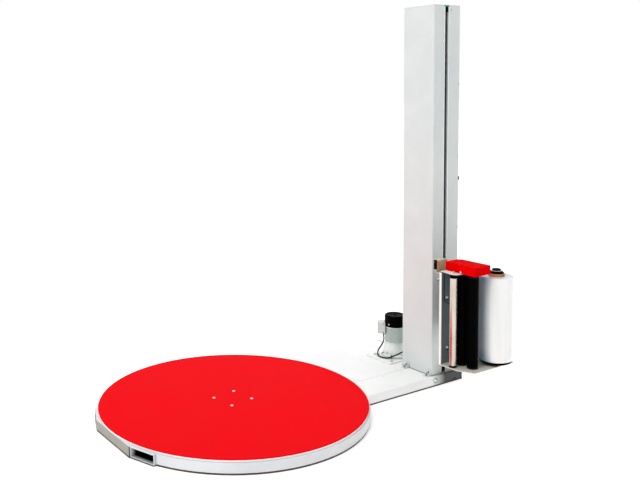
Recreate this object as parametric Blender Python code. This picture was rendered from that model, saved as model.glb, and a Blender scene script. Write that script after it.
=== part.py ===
"""Turntable pallet wrapper: a low round turntable, a slotted mast and a film carriage that climbs it.

Frame: metres, +Z up. The origin is the turntable's axis at the floor. +X runs along the platform to
the mast, and the film carriage hangs on the mast's -Y face. Every piece is its own object.
"""

import math

import bmesh
import bpy
from mathutils import Vector

# ---------------------------------------------------------------- driving dimensions

GAP = 0.0003                     # clearance between neighbouring pieces
STEP = 0.0001                    # keeps the faces of welded sheets out of one plane

TABLE_RADIUS = 0.750
TABLE_TOP = 0.076
TABLE_THICKNESS = 0.006
TABLE_CHAMFER = 0.0015

DECK_TOP = 0.060                 # top of the ring, the platform's deck and its panels
SHEET = 0.003                    # folded sheet steel
BEND = 0.005                     # outside radius of the folds
BASE_PLATE = 0.006               # plate under everything
BASE_RADIUS = 0.756
RING_RADIUS = 0.758              # outside of the ring skirt
RING_LIP = 0.045                 # width of the flat rim on top of the ring
SKIRT_BOTTOM = 0.010
NOSE_X = -0.748                  # flat nose in front of the ring
NOSE_SET_BACK = 0.002            # the base plate stays this far inside the nose

FORK_INNER = 0.197               # fork tubes run between these distances from the centre line
FORK_OUTER = 0.345
FORK_TUBE_TOP = 0.0567
FORK_WALL = 0.002
FORK_MOUTH_INNER_X = -0.7415     # the mouth is mitred to follow the ring
FORK_MOUTH_OUTER_X = -0.6880
FORK_LID = 0.0015                # the ring's rim reaches this far past the mouth
FORK_END_X = 0.620

WHEEL_CIRCLE = 0.660             # support wheels under the turntable
WHEEL_COUNT = 6
WHEEL_RADIUS = 0.0240
WHEEL_WIDTH = 0.020
WHEEL_HEIGHT = 0.0457
AXLE_RADIUS = 0.0050
BORE_CLEARANCE = 0.0003
LUG_THICKNESS = 0.004

CHAIN_PITCH = 0.01905
TABLE_TEETH = 54
DRIVE_TEETH = 15
CHAIN_LOW = 0.0440
CHAIN_HIGH = 0.0520

PLATFORM_HALF = 0.368
PLATFORM_END = 1.425
FRAME_START = 0.720
FRAME_END = 1.455
FRAME_OUTER = 0.363
FRAME_INNER = 0.300
CROSSBEAM_X = 1.400
SEAM_Y = -0.165                  # lengthways seam between the two deck panels
SKIRT_LOW = 0.0095

MOTOR_X, MOTOR_Y = 1.295, 0.048
MOUNT_PLATE = 0.006
STATOR_RADIUS = 0.061
STATOR_LOW, STATOR_HIGH = 0.1553, 0.2680
COVER_RADIUS = 0.065
COVER_LOW, COVER_HIGH = 0.2620, 0.335
SHAFT_RADIUS = 0.014
BOX_ANGLE = math.radians(135.0)  # the terminal box sits on this side of the motor
BOX_DISTANCE = 0.080
BOX_LOW, BOX_HIGH = 0.212, 0.283
GLAND_DISTANCE = 0.0707
CABLE_RADIUS = 0.0042

MAST_LEFT, MAST_RIGHT = 1.2054, 1.4238
MAST_FRONT, MAST_BACK = -0.3484, -0.1060
MAST_TOP = 2.272
MAST_CAP = 0.004
SLOT_LEFT, SLOT_RIGHT = 1.292, 1.322
SLOT_LIP = 0.010
MAST_CORNER = 0.006

LIFT_X, LIFT_Y = 1.307, -0.205
PULLEY_RADIUS = 0.0345
PULLEY_LOW_Z, PULLEY_HIGH_Z = 0.200, 2.150
BELT_THICKNESS = 0.004
BELT_HALF = 0.0115

CARRIAGE_BOTTOM = 0.2365         # upper face of the bottom plate
CARRIAGE_TOP = 0.7645            # lower face of the top plate
CARRIAGE_PLATE = 0.005
CARRIAGE_LEFT, CARRIAGE_RIGHT = 1.020, 1.400
BACK_PLATE_RIGHT = 1.345
BACK_SHEET = 0.004
CARRIAGE_BACK = -0.5705
CARRIAGE_FRONT = -0.785

REAR_ROLLER = (1.117, -0.648)
ROLLER_RADIUS = 0.030
ROLLER_SPACING = 0.075
ROLLER_ANGLE = math.radians(271.0)
FRONT_ROLLER = (
    REAR_ROLLER[0] + ROLLER_SPACING * math.cos(ROLLER_ANGLE),
    REAR_ROLLER[1] + ROLLER_SPACING * math.sin(ROLLER_ANGLE),
)
IDLE_ROLLER = (1.045, -0.650)
IDLE_RADIUS = 0.0205
ROLLER_SHAFT = 0.008
IDLE_SHAFT = 0.006
ROLLER_LOW, ROLLER_HIGH = 0.2405, 0.7560
IDLE_LOW, IDLE_HIGH = 0.2490, 0.7420
GEAR_MODULE = 0.002
REAR_GEAR_TEETH = 45
FRONT_GEAR_TEETH = 30
GEAR_LOW, GEAR_HIGH = 0.776, 0.788
COVER_LEFT, COVER_RIGHT = 1.057, 1.184
COVER_FRONT, COVER_BACK = -0.783, -0.570
GEAR_COVER_TOP = 0.819
GEAR_COVER_WALL = 0.0025

SPOOL = (1.300, -0.731)
FILM_RADIUS = 0.0920
FILM_LOW, FILM_HIGH = 0.2602, 0.7380
CORE_RADIUS, CORE_BORE = 0.0436, 0.0380
CORE_HIGH = 0.7520
DISC_RADIUS = 0.0870
DISC_LOW = 0.2480

PANEL_X = MAST_RIGHT + GAP
DOOR_LOW, DOOR_HIGH = 0.780, 1.480
DOOR_LEFT, DOOR_RIGHT = -0.335, -0.120
DOOR_THICKNESS = 0.003
CONTROL_DEPTH = 0.020
CONTROL_FACE = PANEL_X + CONTROL_DEPTH
SWITCH_Y, SWITCH_Z = -0.298, 1.240
STOP_Y, STOP_Z = -0.175, 1.585
START_Y, RESET_Y, BUTTON_Z = -0.255, -0.215, 1.665
KNOB_Y, KNOB_Z = -0.175, 1.665
BUTTON_RADIUS = 0.011

# ---------------------------------------------------------------- materials


def make_material(name, colour, roughness, metallic):
    """A Principled material with one colour."""
    material = bpy.data.materials.new(name)
    material.use_nodes = True
    shader = material.node_tree.nodes["Principled BSDF"]
    shader.inputs["Base Color"].default_value = (*colour, 1.0)
    shader.inputs["Roughness"].default_value = roughness
    shader.inputs["Metallic"].default_value = metallic
    material.diffuse_color = (*colour, 1.0)
    return material


FINISHES = {
    "white_paint": ((0.83, 0.84, 0.83), 0.40, 0.0),
    "red_paint": ((0.86, 0.01, 0.02), 0.45, 0.0),
    "dark_steel": ((0.05, 0.04, 0.035), 0.70, 0.2),
    "steel": ((0.62, 0.62, 0.62), 0.35, 1.0),
    "grey_paint": ((0.44, 0.50, 0.48), 0.45, 0.0),
    "light_plastic": ((0.78, 0.79, 0.77), 0.50, 0.0),
    "black_plastic": ((0.012, 0.012, 0.013), 0.45, 0.0),
    "black_rubber": ((0.010, 0.010, 0.010), 0.75, 0.0),
    "zinc": ((0.66, 0.60, 0.42), 0.40, 0.8),
    "aluminium": ((0.86, 0.86, 0.85), 0.25, 1.0),
    "film": ((0.90, 0.92, 0.94), 0.20, 0.0),
    "cardboard": ((0.55, 0.30, 0.12), 0.80, 0.0),
    "red_plastic": ((0.80, 0.02, 0.02), 0.30, 0.0),
    "green_plastic": ((0.02, 0.45, 0.10), 0.30, 0.0),
}
MATERIALS = {}

# ---------------------------------------------------------------- mesh helpers


def place(name, mesh_data, finish, origin=(0.0, 0.0, 0.0), parent=None):
    """Makes the named object from a bmesh in world coordinates, with its origin at a point."""
    bmesh.ops.recalc_face_normals(mesh_data, faces=mesh_data.faces)
    bmesh.ops.translate(mesh_data, verts=mesh_data.verts, vec=-Vector(origin))
    mesh = bpy.data.meshes.new(name)
    mesh_data.to_mesh(mesh)
    mesh_data.free()
    mesh.shade_smooth()
    mesh.set_sharp_from_angle(angle=math.radians(32.0))
    mesh.materials.append(MATERIALS[finish])
    piece = bpy.data.objects.new(name, mesh)
    bpy.context.collection.objects.link(piece)
    piece.location = Vector(origin)
    if parent is not None:
        piece.parent = parent
        piece.location = Vector(origin) - parent.location
    return piece


def axis_point(axis, along, first, second):
    """A point from its place along an axis and across it, in X, Y, Z order."""
    if axis == "X":
        return Vector((along, first, second))
    if axis == "Y":
        return Vector((first, along, second))
    return Vector((first, second, along))


def prism(outline, low, high, axis="Z"):
    """A closed outline pushed along an axis."""
    body = bmesh.new()
    rings = []
    for along in (low, high):
        rings.append([body.verts.new(axis_point(axis, along, *point)) for point in outline])
    count = len(outline)
    body.faces.new(rings[0])
    body.faces.new(rings[1][::-1])
    for index in range(count):
        after = (index + 1) % count
        body.faces.new((rings[0][index], rings[1][index], rings[1][after], rings[0][after]))
    return body


def ring_prism(outer, inner, low, high, axis="Z"):
    """A band between two outlines with as many points each, pushed along an axis."""
    body = bmesh.new()
    loops = {}
    for side, outline in (("outer", outer), ("inner", inner)):
        for end, along in (("low", low), ("high", high)):
            loops[side, end] = [body.verts.new(axis_point(axis, along, *point)) for point in outline]
    count = len(outer)
    pairs = (
        (loops["outer", "low"], loops["outer", "high"]),
        (loops["outer", "high"], loops["inner", "high"]),
        (loops["inner", "high"], loops["inner", "low"]),
        (loops["inner", "low"], loops["outer", "low"]),
    )
    for first, second in pairs:
        for index in range(count):
            after = (index + 1) % count
            body.faces.new((first[index], second[index], second[after], first[after]))
    return body


def box(low, high):
    """An upright block between two corners."""
    corners = [(low[0], low[1]), (high[0], low[1]), (high[0], high[1]), (low[0], high[1])]
    return prism(corners, low[2], high[2])


def lathe(profile, centre, steps, axis="Z", closed=False):
    """Turns (radius, height) points about an axis; an open profile starts and ends on the axis."""
    body = bmesh.new()
    rings = []
    for radius, height in profile:
        if radius == 0.0:
            point = axis_point(axis, height, 0.0, 0.0) + Vector(centre)
            rings.append([body.verts.new(point)])
            continue
        ring = []
        for step in range(steps):
            turn = 2.0 * math.pi * step / steps
            across = (radius * math.cos(turn), radius * math.sin(turn))
            ring.append(body.verts.new(axis_point(axis, height, *across) + Vector(centre)))
        rings.append(ring)
    joins = list(zip(rings, rings[1:]))
    if closed:
        joins.append((rings[-1], rings[0]))
    for first, second in joins:
        if len(first) == 1 and len(second) == 1:
            continue
        for step in range(steps):
            after = (step + 1) % steps
            quad = [first[step % len(first)], first[after % len(first)]]
            quad += [second[after % len(second)], second[step % len(second)]]
            body.faces.new(list(dict.fromkeys(quad)))
    return body


def cylinder(radius, low, high, centre, steps=24, axis="Z"):
    """A plain round bar."""
    profile = [(0.0, low), (radius, low), (radius, high), (0.0, high)]
    return lathe(profile, centre, steps, axis)


def tube(outer, inner, low, high, centre, steps=24, axis="Z"):
    """A plain round tube."""
    profile = [(outer, low), (outer, high), (inner, high), (inner, low)]
    return lathe(profile, centre, steps, axis, closed=True)


def merged(bodies):
    """Several shapes in one bmesh, for a cutter or a union."""
    total = bmesh.new()
    for body in bodies:
        bmesh.ops.recalc_face_normals(body, faces=body.faces)
        mesh = bpy.data.meshes.new("part_shape")
        body.to_mesh(mesh)
        body.free()
        total.from_mesh(mesh)
        bpy.data.meshes.remove(mesh)
    return total


def combine(piece, bodies, operation):
    """Cuts shapes out of a piece (DIFFERENCE) or welds them to it (UNION)."""
    tool = place(piece.name + "_tool_" + str(len(piece.modifiers)), merged(bodies), "steel")
    tool.hide_render = True
    tool.display_type = "WIRE"
    modifier = piece.modifiers.new(operation.lower(), "BOOLEAN")
    modifier.operation = operation
    modifier.object = tool
    modifier.solver = "EXACT"
    modifier.use_self = len(bodies) > 1


def arc(centre, radius, start, end, steps):
    """Points along an arc, both ends included."""
    points = []
    for step in range(steps + 1):
        turn = start + (end - start) * step / steps
        points.append((centre[0] + radius * math.cos(turn), centre[1] + radius * math.sin(turn)))
    return points


def offset_path(points, distance):
    """The path beside an open path, to its right, with mitred corners."""
    result = []
    for index, point in enumerate(points):
        here = Vector(point)
        normals = []
        for first, second in ((index - 1, index), (index, index + 1)):
            if first < 0 or second >= len(points):
                continue
            run = (Vector(points[second]) - Vector(points[first])).normalized()
            normals.append(Vector((run.y, -run.x)))
        if len(normals) == 1:
            result.append(tuple(here + normals[0] * distance))
            continue
        mean = (normals[0] + normals[1]).normalized()
        result.append(tuple(here + mean * (distance / mean.dot(normals[0]))))
    return result


def folded_sheet(points, thickness):
    """The outline of a folded sheet whose material lies to the right of its outer path."""
    return list(points) + offset_path(points, thickness)[::-1]


def round_corners(points, radius, steps):
    """Replaces the inner corners of an open path with arcs."""
    result = [points[0]]
    for before, corner, after in zip(points, points[1:], points[2:]):
        here = Vector(corner)
        back = (Vector(before) - here).normalized()
        ahead = (Vector(after) - here).normalized()
        half = back.angle(ahead) / 2.0
        reach = radius / math.tan(half)
        if reach > 0.45 * min((Vector(before) - here).length, (Vector(after) - here).length):
            result.append(corner)
            continue
        centre = here + (back + ahead).normalized() * (radius / math.sin(half))
        first = here + back * reach - centre
        second = here + ahead * reach - centre
        swing = first.angle_signed(second)
        for step in range(steps + 1):
            turn = -swing * step / steps
            result.append((
                centre.x + first.x * math.cos(turn) - first.y * math.sin(turn),
                centre.y + first.x * math.sin(turn) + first.y * math.cos(turn),
            ))
    result.append(points[-1])
    return result


def toothed_outline(centre, root, tip, teeth, phase, root_share, tip_share):
    """The outline of a gear or sprocket; a tooth's shares are of one pitch, at its root and tip."""
    points = []
    pitch = 2.0 * math.pi / teeth
    for tooth in range(teeth):
        middle = phase + tooth * pitch
        flanks = ((root, -root_share), (tip, -tip_share), (tip, tip_share), (root, root_share))
        for radius, share in flanks:
            turn = middle + share * pitch / 2.0
            points.append((centre[0] + radius * math.cos(turn), centre[1] + radius * math.sin(turn)))
    return points


def loop_outline(first, first_radius, second, second_radius, steps):
    """The outline of a belt or chain around two wheels, as outer tangents and arcs."""
    start, end = Vector(first), Vector(second)
    span = end - start
    heading = math.atan2(span.y, span.x)
    lean = math.acos((first_radius - second_radius) / span.length)
    points = arc(first, first_radius, heading + lean, heading + 2.0 * math.pi - lean, steps)
    points += arc(second, second_radius, heading - lean, heading + lean, steps)
    return points


def holder(name, point):
    """An empty that moving pieces hang on."""
    empty = bpy.data.objects.new(name, None)
    bpy.context.collection.objects.link(empty)
    empty.location = point
    return empty


# ---------------------------------------------------------------- base and turntable


def wheel_spots():
    """Angle of each support wheel about the turntable's axis."""
    return [2.0 * math.pi * index / WHEEL_COUNT for index in range(WHEEL_COUNT)]


def turned_box(length, width, low, high, angle, distance):
    """A block whose length lies along a radius of the turntable, at a distance from the axis."""
    outline = []
    for along, across in ((-0.5, -0.5), (0.5, -0.5), (0.5, 0.5), (-0.5, 0.5)):
        radial = distance + along * length
        side = across * width
        outline.append((
            radial * math.cos(angle) - side * math.sin(angle),
            radial * math.sin(angle) + side * math.cos(angle),
        ))
    return prism(outline, low, high)


def radial_bar(radius, length, angle, distance, height, bore=0.0, steps=16):
    """A round bar, or a wheel with a bore, whose axis lies along a radius of the turntable."""
    half = length / 2.0
    if bore > 0.0:
        body = tube(radius, bore, -half, half, (0.0, 0.0, 0.0), steps, "X")
    else:
        body = cylinder(radius, -half, half, (0.0, 0.0, 0.0), steps, "X")
    ahead = Vector((math.cos(angle), math.sin(angle), 0.0))
    side = Vector((-math.sin(angle), math.cos(angle), 0.0))
    for vertex in body.verts:
        along, across, up = vertex.co
        vertex.co = ahead * (distance + along) + side * across + Vector((0.0, 0.0, height + up))
    return body


def base_outline():
    """Outline of the base plate: the circle, the nose and the platform."""
    side_angle = math.asin((PLATFORM_HALF - NOSE_SET_BACK) / BASE_RADIUS)
    corner = FORK_OUTER - 0.0005
    mouth_angle = math.pi - math.asin(corner / BASE_RADIUS)
    nose = [
        (FORK_MOUTH_OUTER_X - 0.001, corner), (FORK_MOUTH_INNER_X - 0.001, FORK_INNER),
        (NOSE_X + NOSE_SET_BACK, FORK_INNER - 0.006),
    ]
    half = arc((0.0, 0.0), BASE_RADIUS, side_angle, mouth_angle, 30) + nose
    end = FRAME_END - NOSE_SET_BACK
    platform_half = PLATFORM_HALF - NOSE_SET_BACK
    mirrored = [(x, -y) for x, y in half[::-1]]
    return [(end, platform_half)] + half + mirrored + [(end, -platform_half)]


def build_base():
    """Base plate with its wheel lugs, ring, fork tubes, spindle and wheels."""
    plate = place("base_plate", prism(base_outline(), 0.0, BASE_PLATE), "dark_steel")
    mounts = []
    lug_offset = WHEEL_WIDTH / 2.0 + LUG_THICKNESS / 2.0 + 0.001
    for angle in wheel_spots():
        for side in (-1.0, 1.0):
            reach = WHEEL_CIRCLE + side * lug_offset
            mounts.append(turned_box(LUG_THICKNESS, 0.030, 0.004, 0.0540, angle, reach))
        pin = 2.0 * lug_offset + 0.003
        mounts.append(radial_bar(AXLE_RADIUS, pin, angle, WHEEL_CIRCLE, WHEEL_HEIGHT, steps=12))
    combine(plate, mounts, "UNION")
    build_ring()

    low, high = BASE_PLATE + GAP, FORK_TUBE_TOP
    for name, side in (("fork_tube_near", -1.0), ("fork_tube_far", 1.0)):
        place(name, fork_tube(side, low, high), "white_paint")

    spindle = [
        (0.0, low), (0.070, low), (0.070, 0.018), (0.025, 0.018), (0.025, 0.064), (0.0, 0.064),
    ]
    place("centre_spindle", lathe(spindle, (0.0, 0.0, 0.0), 32), "steel")

    bore = AXLE_RADIUS + BORE_CLEARANCE
    for index, angle in enumerate(wheel_spots()):
        wheel = radial_bar(WHEEL_RADIUS, WHEEL_WIDTH, angle, WHEEL_CIRCLE, WHEEL_HEIGHT, bore, 20)
        centre = (WHEEL_CIRCLE * math.cos(angle), WHEEL_CIRCLE * math.sin(angle), WHEEL_HEIGHT)
        place("support_wheel_" + str(index + 1), wheel, "black_rubber", centre)


def build_ring():
    """The folded ring round the turntable, with its flat nose and the rims over the fork mouths."""
    under = DECK_TOP - SHEET
    path = [(RING_RADIUS - RING_LIP, DECK_TOP), (RING_RADIUS, DECK_TOP), (RING_RADIUS, SKIRT_BOTTOM)]
    profile = folded_sheet(round_corners(path, BEND, 4), SHEET)
    ring = place("base_ring", lathe(profile, (0.0, 0.0, 0.0), 96, closed=True), "white_paint")
    side = FORK_OUTER + GAP
    chain_side = FRAME_INNER - 0.010
    cuts = [
        box((-0.80, -side, -0.01), (-0.60, side, under)),
        box((0.40, -chain_side, -0.01), (0.80, chain_side, under)),
    ]
    combine(ring, cuts, "DIFFERENCE")
    combine(ring, [box((-0.80, -0.30, -0.01), (NOSE_X + 0.001, 0.30, 0.08))], "DIFFERENCE")

    nose_path = [(NOSE_X, SKIRT_BOTTOM), (NOSE_X, DECK_TOP), (-0.722, DECK_TOP)]
    nose_outline = folded_sheet(round_corners(nose_path, BEND, 4), SHEET)
    nose_half = FORK_INNER - 0.0025
    combine(ring, [prism(nose_outline, -nose_half, nose_half, "Y")], "UNION")
    for sign in (-1.0, 1.0):
        outline = [
            (FORK_MOUTH_INNER_X - FORK_LID, sign * (nose_half - 0.001)),
            (FORK_MOUTH_OUTER_X - FORK_LID, sign * side),
            (FORK_MOUTH_OUTER_X + 0.023, sign * side),
            (FORK_MOUTH_INNER_X + 0.035, sign * (nose_half - 0.001)),
        ]
        combine(ring, [prism(outline, under + STEP, DECK_TOP - STEP)], "UNION")


def fork_tube(side, low, high):
    """A rectangular tube along X whose mouth is mitred to follow the ring."""
    body = bmesh.new()
    slope = (FORK_MOUTH_OUTER_X - FORK_MOUTH_INNER_X) / (FORK_OUTER - FORK_INNER)
    rings = []
    for inset in (0.0, FORK_WALL):
        for at_mouth in (True, False):
            ring = []
            for across, height in (
                (FORK_INNER + inset, low + inset), (FORK_OUTER - inset, low + inset),
                (FORK_OUTER - inset, high - inset), (FORK_INNER + inset, high - inset),
            ):
                along = FORK_MOUTH_INNER_X + slope * (across - FORK_INNER) if at_mouth else FORK_END_X
                ring.append(body.verts.new((along, side * across, height)))
            rings.append(ring)
    outer_mouth, outer_end, inner_mouth, inner_end = rings
    joins = (
        (outer_mouth, outer_end), (outer_end, inner_end), (inner_end, inner_mouth),
        (inner_mouth, outer_mouth),
    )
    for first, second in joins:
        for index in range(4):
            after = (index + 1) % 4
            body.faces.new((first[index], second[index], second[after], first[after]))
    return body


def sprocket_radius(teeth):
    """Pitch radius of a chain wheel."""
    return CHAIN_PITCH / (2.0 * math.sin(math.pi / teeth))


def sprocket_outline(centre, teeth):
    """Outline of a chain wheel."""
    pitch_radius = sprocket_radius(teeth)
    return toothed_outline(centre, pitch_radius - 0.005, pitch_radius + 0.003, teeth, 0.0, 0.60, 0.22)


def build_turntable():
    """The round plate and the chain wheel under it, which turn together."""
    axis = holder("turntable_axis", (0.0, 0.0, 0.0))
    low = TABLE_TOP - TABLE_THICKNESS
    profile = [
        (0.0, low), (TABLE_RADIUS, low), (TABLE_RADIUS, TABLE_TOP - TABLE_CHAMFER),
        (TABLE_RADIUS - TABLE_CHAMFER, TABLE_TOP), (0.0, TABLE_TOP),
    ]
    place("turntable_plate", lathe(profile, (0.0, 0.0, 0.0), 96), "red_paint", parent=axis)
    wheel = place(
        "turntable_sprocket", prism(sprocket_outline((0.0, 0.0), TABLE_TEETH), CHAIN_LOW, CHAIN_HIGH),
        "steel", parent=axis,
    )
    combine(wheel, [cylinder(0.055, 0.0215, low - GAP, (0.0, 0.0, 0.0), 32)], "UNION")
    combine(wheel, [cylinder(0.0253, 0.0, 0.100, (0.0, 0.0, 0.0), 32)], "DIFFERENCE")


# ---------------------------------------------------------------- platform and turntable drive


def build_platform():
    """The U-shaped frame and the two folded deck panels."""
    outline = [
        (FRAME_START, FRAME_OUTER), (FRAME_END, FRAME_OUTER), (FRAME_END, -FRAME_OUTER),
        (FRAME_START, -FRAME_OUTER), (FRAME_START, -FRAME_INNER), (CROSSBEAM_X, -FRAME_INNER),
        (CROSSBEAM_X, FRAME_INNER), (FRAME_START, FRAME_INNER),
    ]
    top = DECK_TOP - SHEET - GAP
    place("platform_frame", prism(outline, BASE_PLATE + GAP, top), "white_paint")

    around_ring = cylinder(RING_RADIUS + GAP, -0.02, 0.10, (0.0, 0.0, 0.0), 96)
    notch = box((1.370, -0.40, 0.0), (1.395, -PLATFORM_HALF + 0.010, 0.022))
    near_path = [(SEAM_Y - 0.001, DECK_TOP), (-PLATFORM_HALF, DECK_TOP), (-PLATFORM_HALF, SKIRT_LOW)]
    near_path = round_corners(near_path, BEND, 4)
    near_outline = folded_sheet(near_path[::-1], SHEET)
    near = place("deck_panel_near", prism(near_outline, 0.60, PLATFORM_END, "X"), "white_paint")
    combine(near, [around_ring, notch], "DIFFERENCE")

    around_ring = cylinder(RING_RADIUS + GAP, -0.02, 0.10, (0.0, 0.0, 0.0), 96)
    far_path = [(SEAM_Y + 0.001, DECK_TOP), (PLATFORM_HALF, DECK_TOP), (PLATFORM_HALF, SKIRT_LOW)]
    far_path = round_corners(far_path, BEND, 4)
    far_outline = folded_sheet(far_path, SHEET)
    far = place("deck_panel_far", prism(far_outline, 0.60, PLATFORM_END, "X"), "white_paint")
    shaft_hole = cylinder(0.030, 0.0, 0.10, (MOTOR_X, MOTOR_Y, 0.0), 24)
    combine(far, [around_ring, shaft_hole], "DIFFERENCE")


def build_drive():
    """Mounting plate, gearbox, motor, fan, terminal box, chain wheel, chain and motor cable."""
    centre = (MOTOR_X, MOTOR_Y, 0.0)
    plate_low = DECK_TOP + GAP
    plate_high = plate_low + MOUNT_PLATE
    plate_box = box((1.145, -0.060, plate_low), (1.415, 0.153, plate_high))
    plate = place("motor_mount_plate", plate_box, "white_paint")
    combine(plate, [cylinder(0.030, 0.0, 0.10, centre, 24)], "DIFFERENCE")

    low = plate_high + GAP
    bore = SHAFT_RADIUS + BORE_CLEARANCE
    gearbox = [
        (bore, low), (0.085, low), (0.085, low + 0.012), (0.074, low + 0.016), (0.072, 0.104),
        (0.060, STATOR_LOW - GAP), (0.0, STATOR_LOW - GAP), (0.0, 0.100), (bore, 0.100),
    ]
    place("gearbox_housing", lathe(gearbox, centre, 32, closed=True), "grey_paint")

    place("motor_stator", cylinder(STATOR_RADIUS, STATOR_LOW, STATOR_HIGH, centre, 36), "grey_paint")

    wall = 0.0025
    cover = [
        (COVER_RADIUS, COVER_LOW), (COVER_RADIUS, COVER_HIGH - 0.008), (COVER_RADIUS - 0.005, COVER_HIGH),
        (0.048, COVER_HIGH), (0.040, COVER_HIGH - 0.006), (0.012, COVER_HIGH - 0.006),
        (0.012, COVER_HIGH - 0.006 - wall), (0.038, COVER_HIGH - 0.006 - wall),
        (0.046, COVER_HIGH - wall), (COVER_RADIUS - 0.006, COVER_HIGH - wall),
        (COVER_RADIUS - wall, COVER_HIGH - 0.009), (COVER_RADIUS - wall, COVER_LOW),
    ]
    place("fan_cover", lathe(cover, centre, 36, closed=True), "black_plastic")

    fan_outline = toothed_outline((MOTOR_X, MOTOR_Y), 0.020, 0.052, 8, 0.0, 0.40, 0.10)
    fan = place("motor_fan", prism(fan_outline, 0.278, 0.306), "black_plastic", centre)
    combine(fan, [cylinder(0.012, STATOR_HIGH + GAP, 0.304, centre, 16)], "UNION")

    outward = Vector((math.cos(BOX_ANGLE), math.sin(BOX_ANGLE)))
    side = Vector((-outward.y, outward.x))
    outline = []
    for along, across in ((-0.0185, -0.034), (0.022, -0.034), (0.022, 0.034), (-0.0185, 0.034)):
        point = Vector((MOTOR_X, MOTOR_Y)) + outward * (BOX_DISTANCE + along) + side * across
        outline.append(tuple(point))
    terminal_box = place("terminal_box", prism(outline, BOX_LOW, BOX_HIGH), "light_plastic")
    cover_space = cylinder(COVER_RADIUS + GAP, COVER_LOW - GAP, 0.40, centre, 36)
    combine(terminal_box, [cover_space], "DIFFERENCE")
    gland_spot = (MOTOR_X + outward.x * GLAND_DISTANCE, MOTOR_Y + outward.y * GLAND_DISTANCE, 0.0)
    gland_low, gland_high = 0.196, BOX_LOW - GAP
    gland = [
        (0.0, gland_low), (0.006, gland_low), (0.008, gland_low + 0.005), (0.008, gland_high),
        (0.0, gland_high),
    ]
    place("cable_gland", lathe(gland, gland_spot, 16), "black_plastic")

    outline = sprocket_outline((MOTOR_X, MOTOR_Y), DRIVE_TEETH)
    wheel = place("drive_sprocket", prism(outline, CHAIN_LOW, CHAIN_HIGH), "steel", centre)
    combine(wheel, [cylinder(SHAFT_RADIUS, 0.0300, 0.0995, centre, 24)], "UNION")

    centres = ((0.0, 0.0), (MOTOR_X, MOTOR_Y))
    bands = []
    for thickness in (0.0036, 0.0126):
        table_reach = sprocket_radius(TABLE_TEETH) + thickness
        drive_reach = sprocket_radius(DRIVE_TEETH) + thickness
        bands.append(loop_outline(centres[0], table_reach, centres[1], drive_reach, 32))
    place("drive_chain", ring_prism(bands[1], bands[0], CHAIN_LOW, CHAIN_HIGH), "steel")

    route = [
        (gland_spot[0], gland_spot[1], gland_low - GAP),
        (gland_spot[0], gland_spot[1], gland_low - 0.0040), (1.2405, 0.0910, 0.1790),
        (1.2375, 0.0880, 0.1680), (1.2360, 0.0965, 0.1450), (1.2280, 0.1080, 0.1190),
        (1.2180, 0.1180, 0.0955), (1.2040, 0.1105, 0.0765), (1.1900, 0.0900, 0.0712),
        (1.1830, 0.0660, 0.0712), (1.1840, 0.0460, 0.0712), (1.1890, 0.0290, 0.0712),
        (1.1990, 0.0120, 0.0730), (1.2110, -0.0020, 0.0790), (1.2290, -0.0330, 0.1000),
        (1.2380, -0.0680, 0.1236), (1.2450, -0.0900, 0.1370), (1.2500, -0.1020, 0.1425),
        (1.2500, -0.1180, 0.1435),
    ]
    build_cable(route)


def smooth_route(route, count):
    """Evenly spaced points on a Catmull-Rom curve through the route."""
    padded = [route[0]] + list(route) + [route[-1]]
    fine = []
    for index in range(len(route) - 1):
        before, start, end, after = (Vector(padded[index + shift]) for shift in range(4))
        for step in range(20):
            part = step / 20.0
            fine.append(0.5 * (
                2.0 * start + (end - before) * part
                + (2.0 * before - 5.0 * start + 4.0 * end - after) * part ** 2
                + (3.0 * start - before - 3.0 * end + after) * part ** 3
            ))
    fine.append(Vector(route[-1]))
    lengths = [0.0]
    for first, second in zip(fine, fine[1:]):
        lengths.append(lengths[-1] + (second - first).length)
    points = []
    for index in range(count):
        target = lengths[-1] * index / (count - 1)
        spot = max(1, next((i for i, total in enumerate(lengths) if total >= target), len(fine) - 1))
        share = (target - lengths[spot - 1]) / (lengths[spot] - lengths[spot - 1])
        points.append(fine[spot - 1].lerp(fine[spot], min(1.0, share)))
    return points


def build_cable(route):
    """The motor's lead, straight down from the gland, over the deck and up into the mast."""
    curve = bpy.data.curves.new("motor_cable", "CURVE")
    curve.dimensions = "3D"
    curve.bevel_depth = CABLE_RADIUS
    curve.bevel_resolution = 2
    curve.use_fill_caps = True
    points = [Vector(route[0])] + smooth_route(route[1:], 26)
    spline = curve.splines.new("POLY")
    spline.points.add(len(points) - 1)
    for spot, point in zip(spline.points, points):
        spot.co = (*point, 1.0)
    curve.materials.append(MATERIALS["black_rubber"])
    cable = bpy.data.objects.new("motor_cable", curve)
    bpy.context.collection.objects.link(cable)


# ---------------------------------------------------------------- mast, lift and controls


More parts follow.
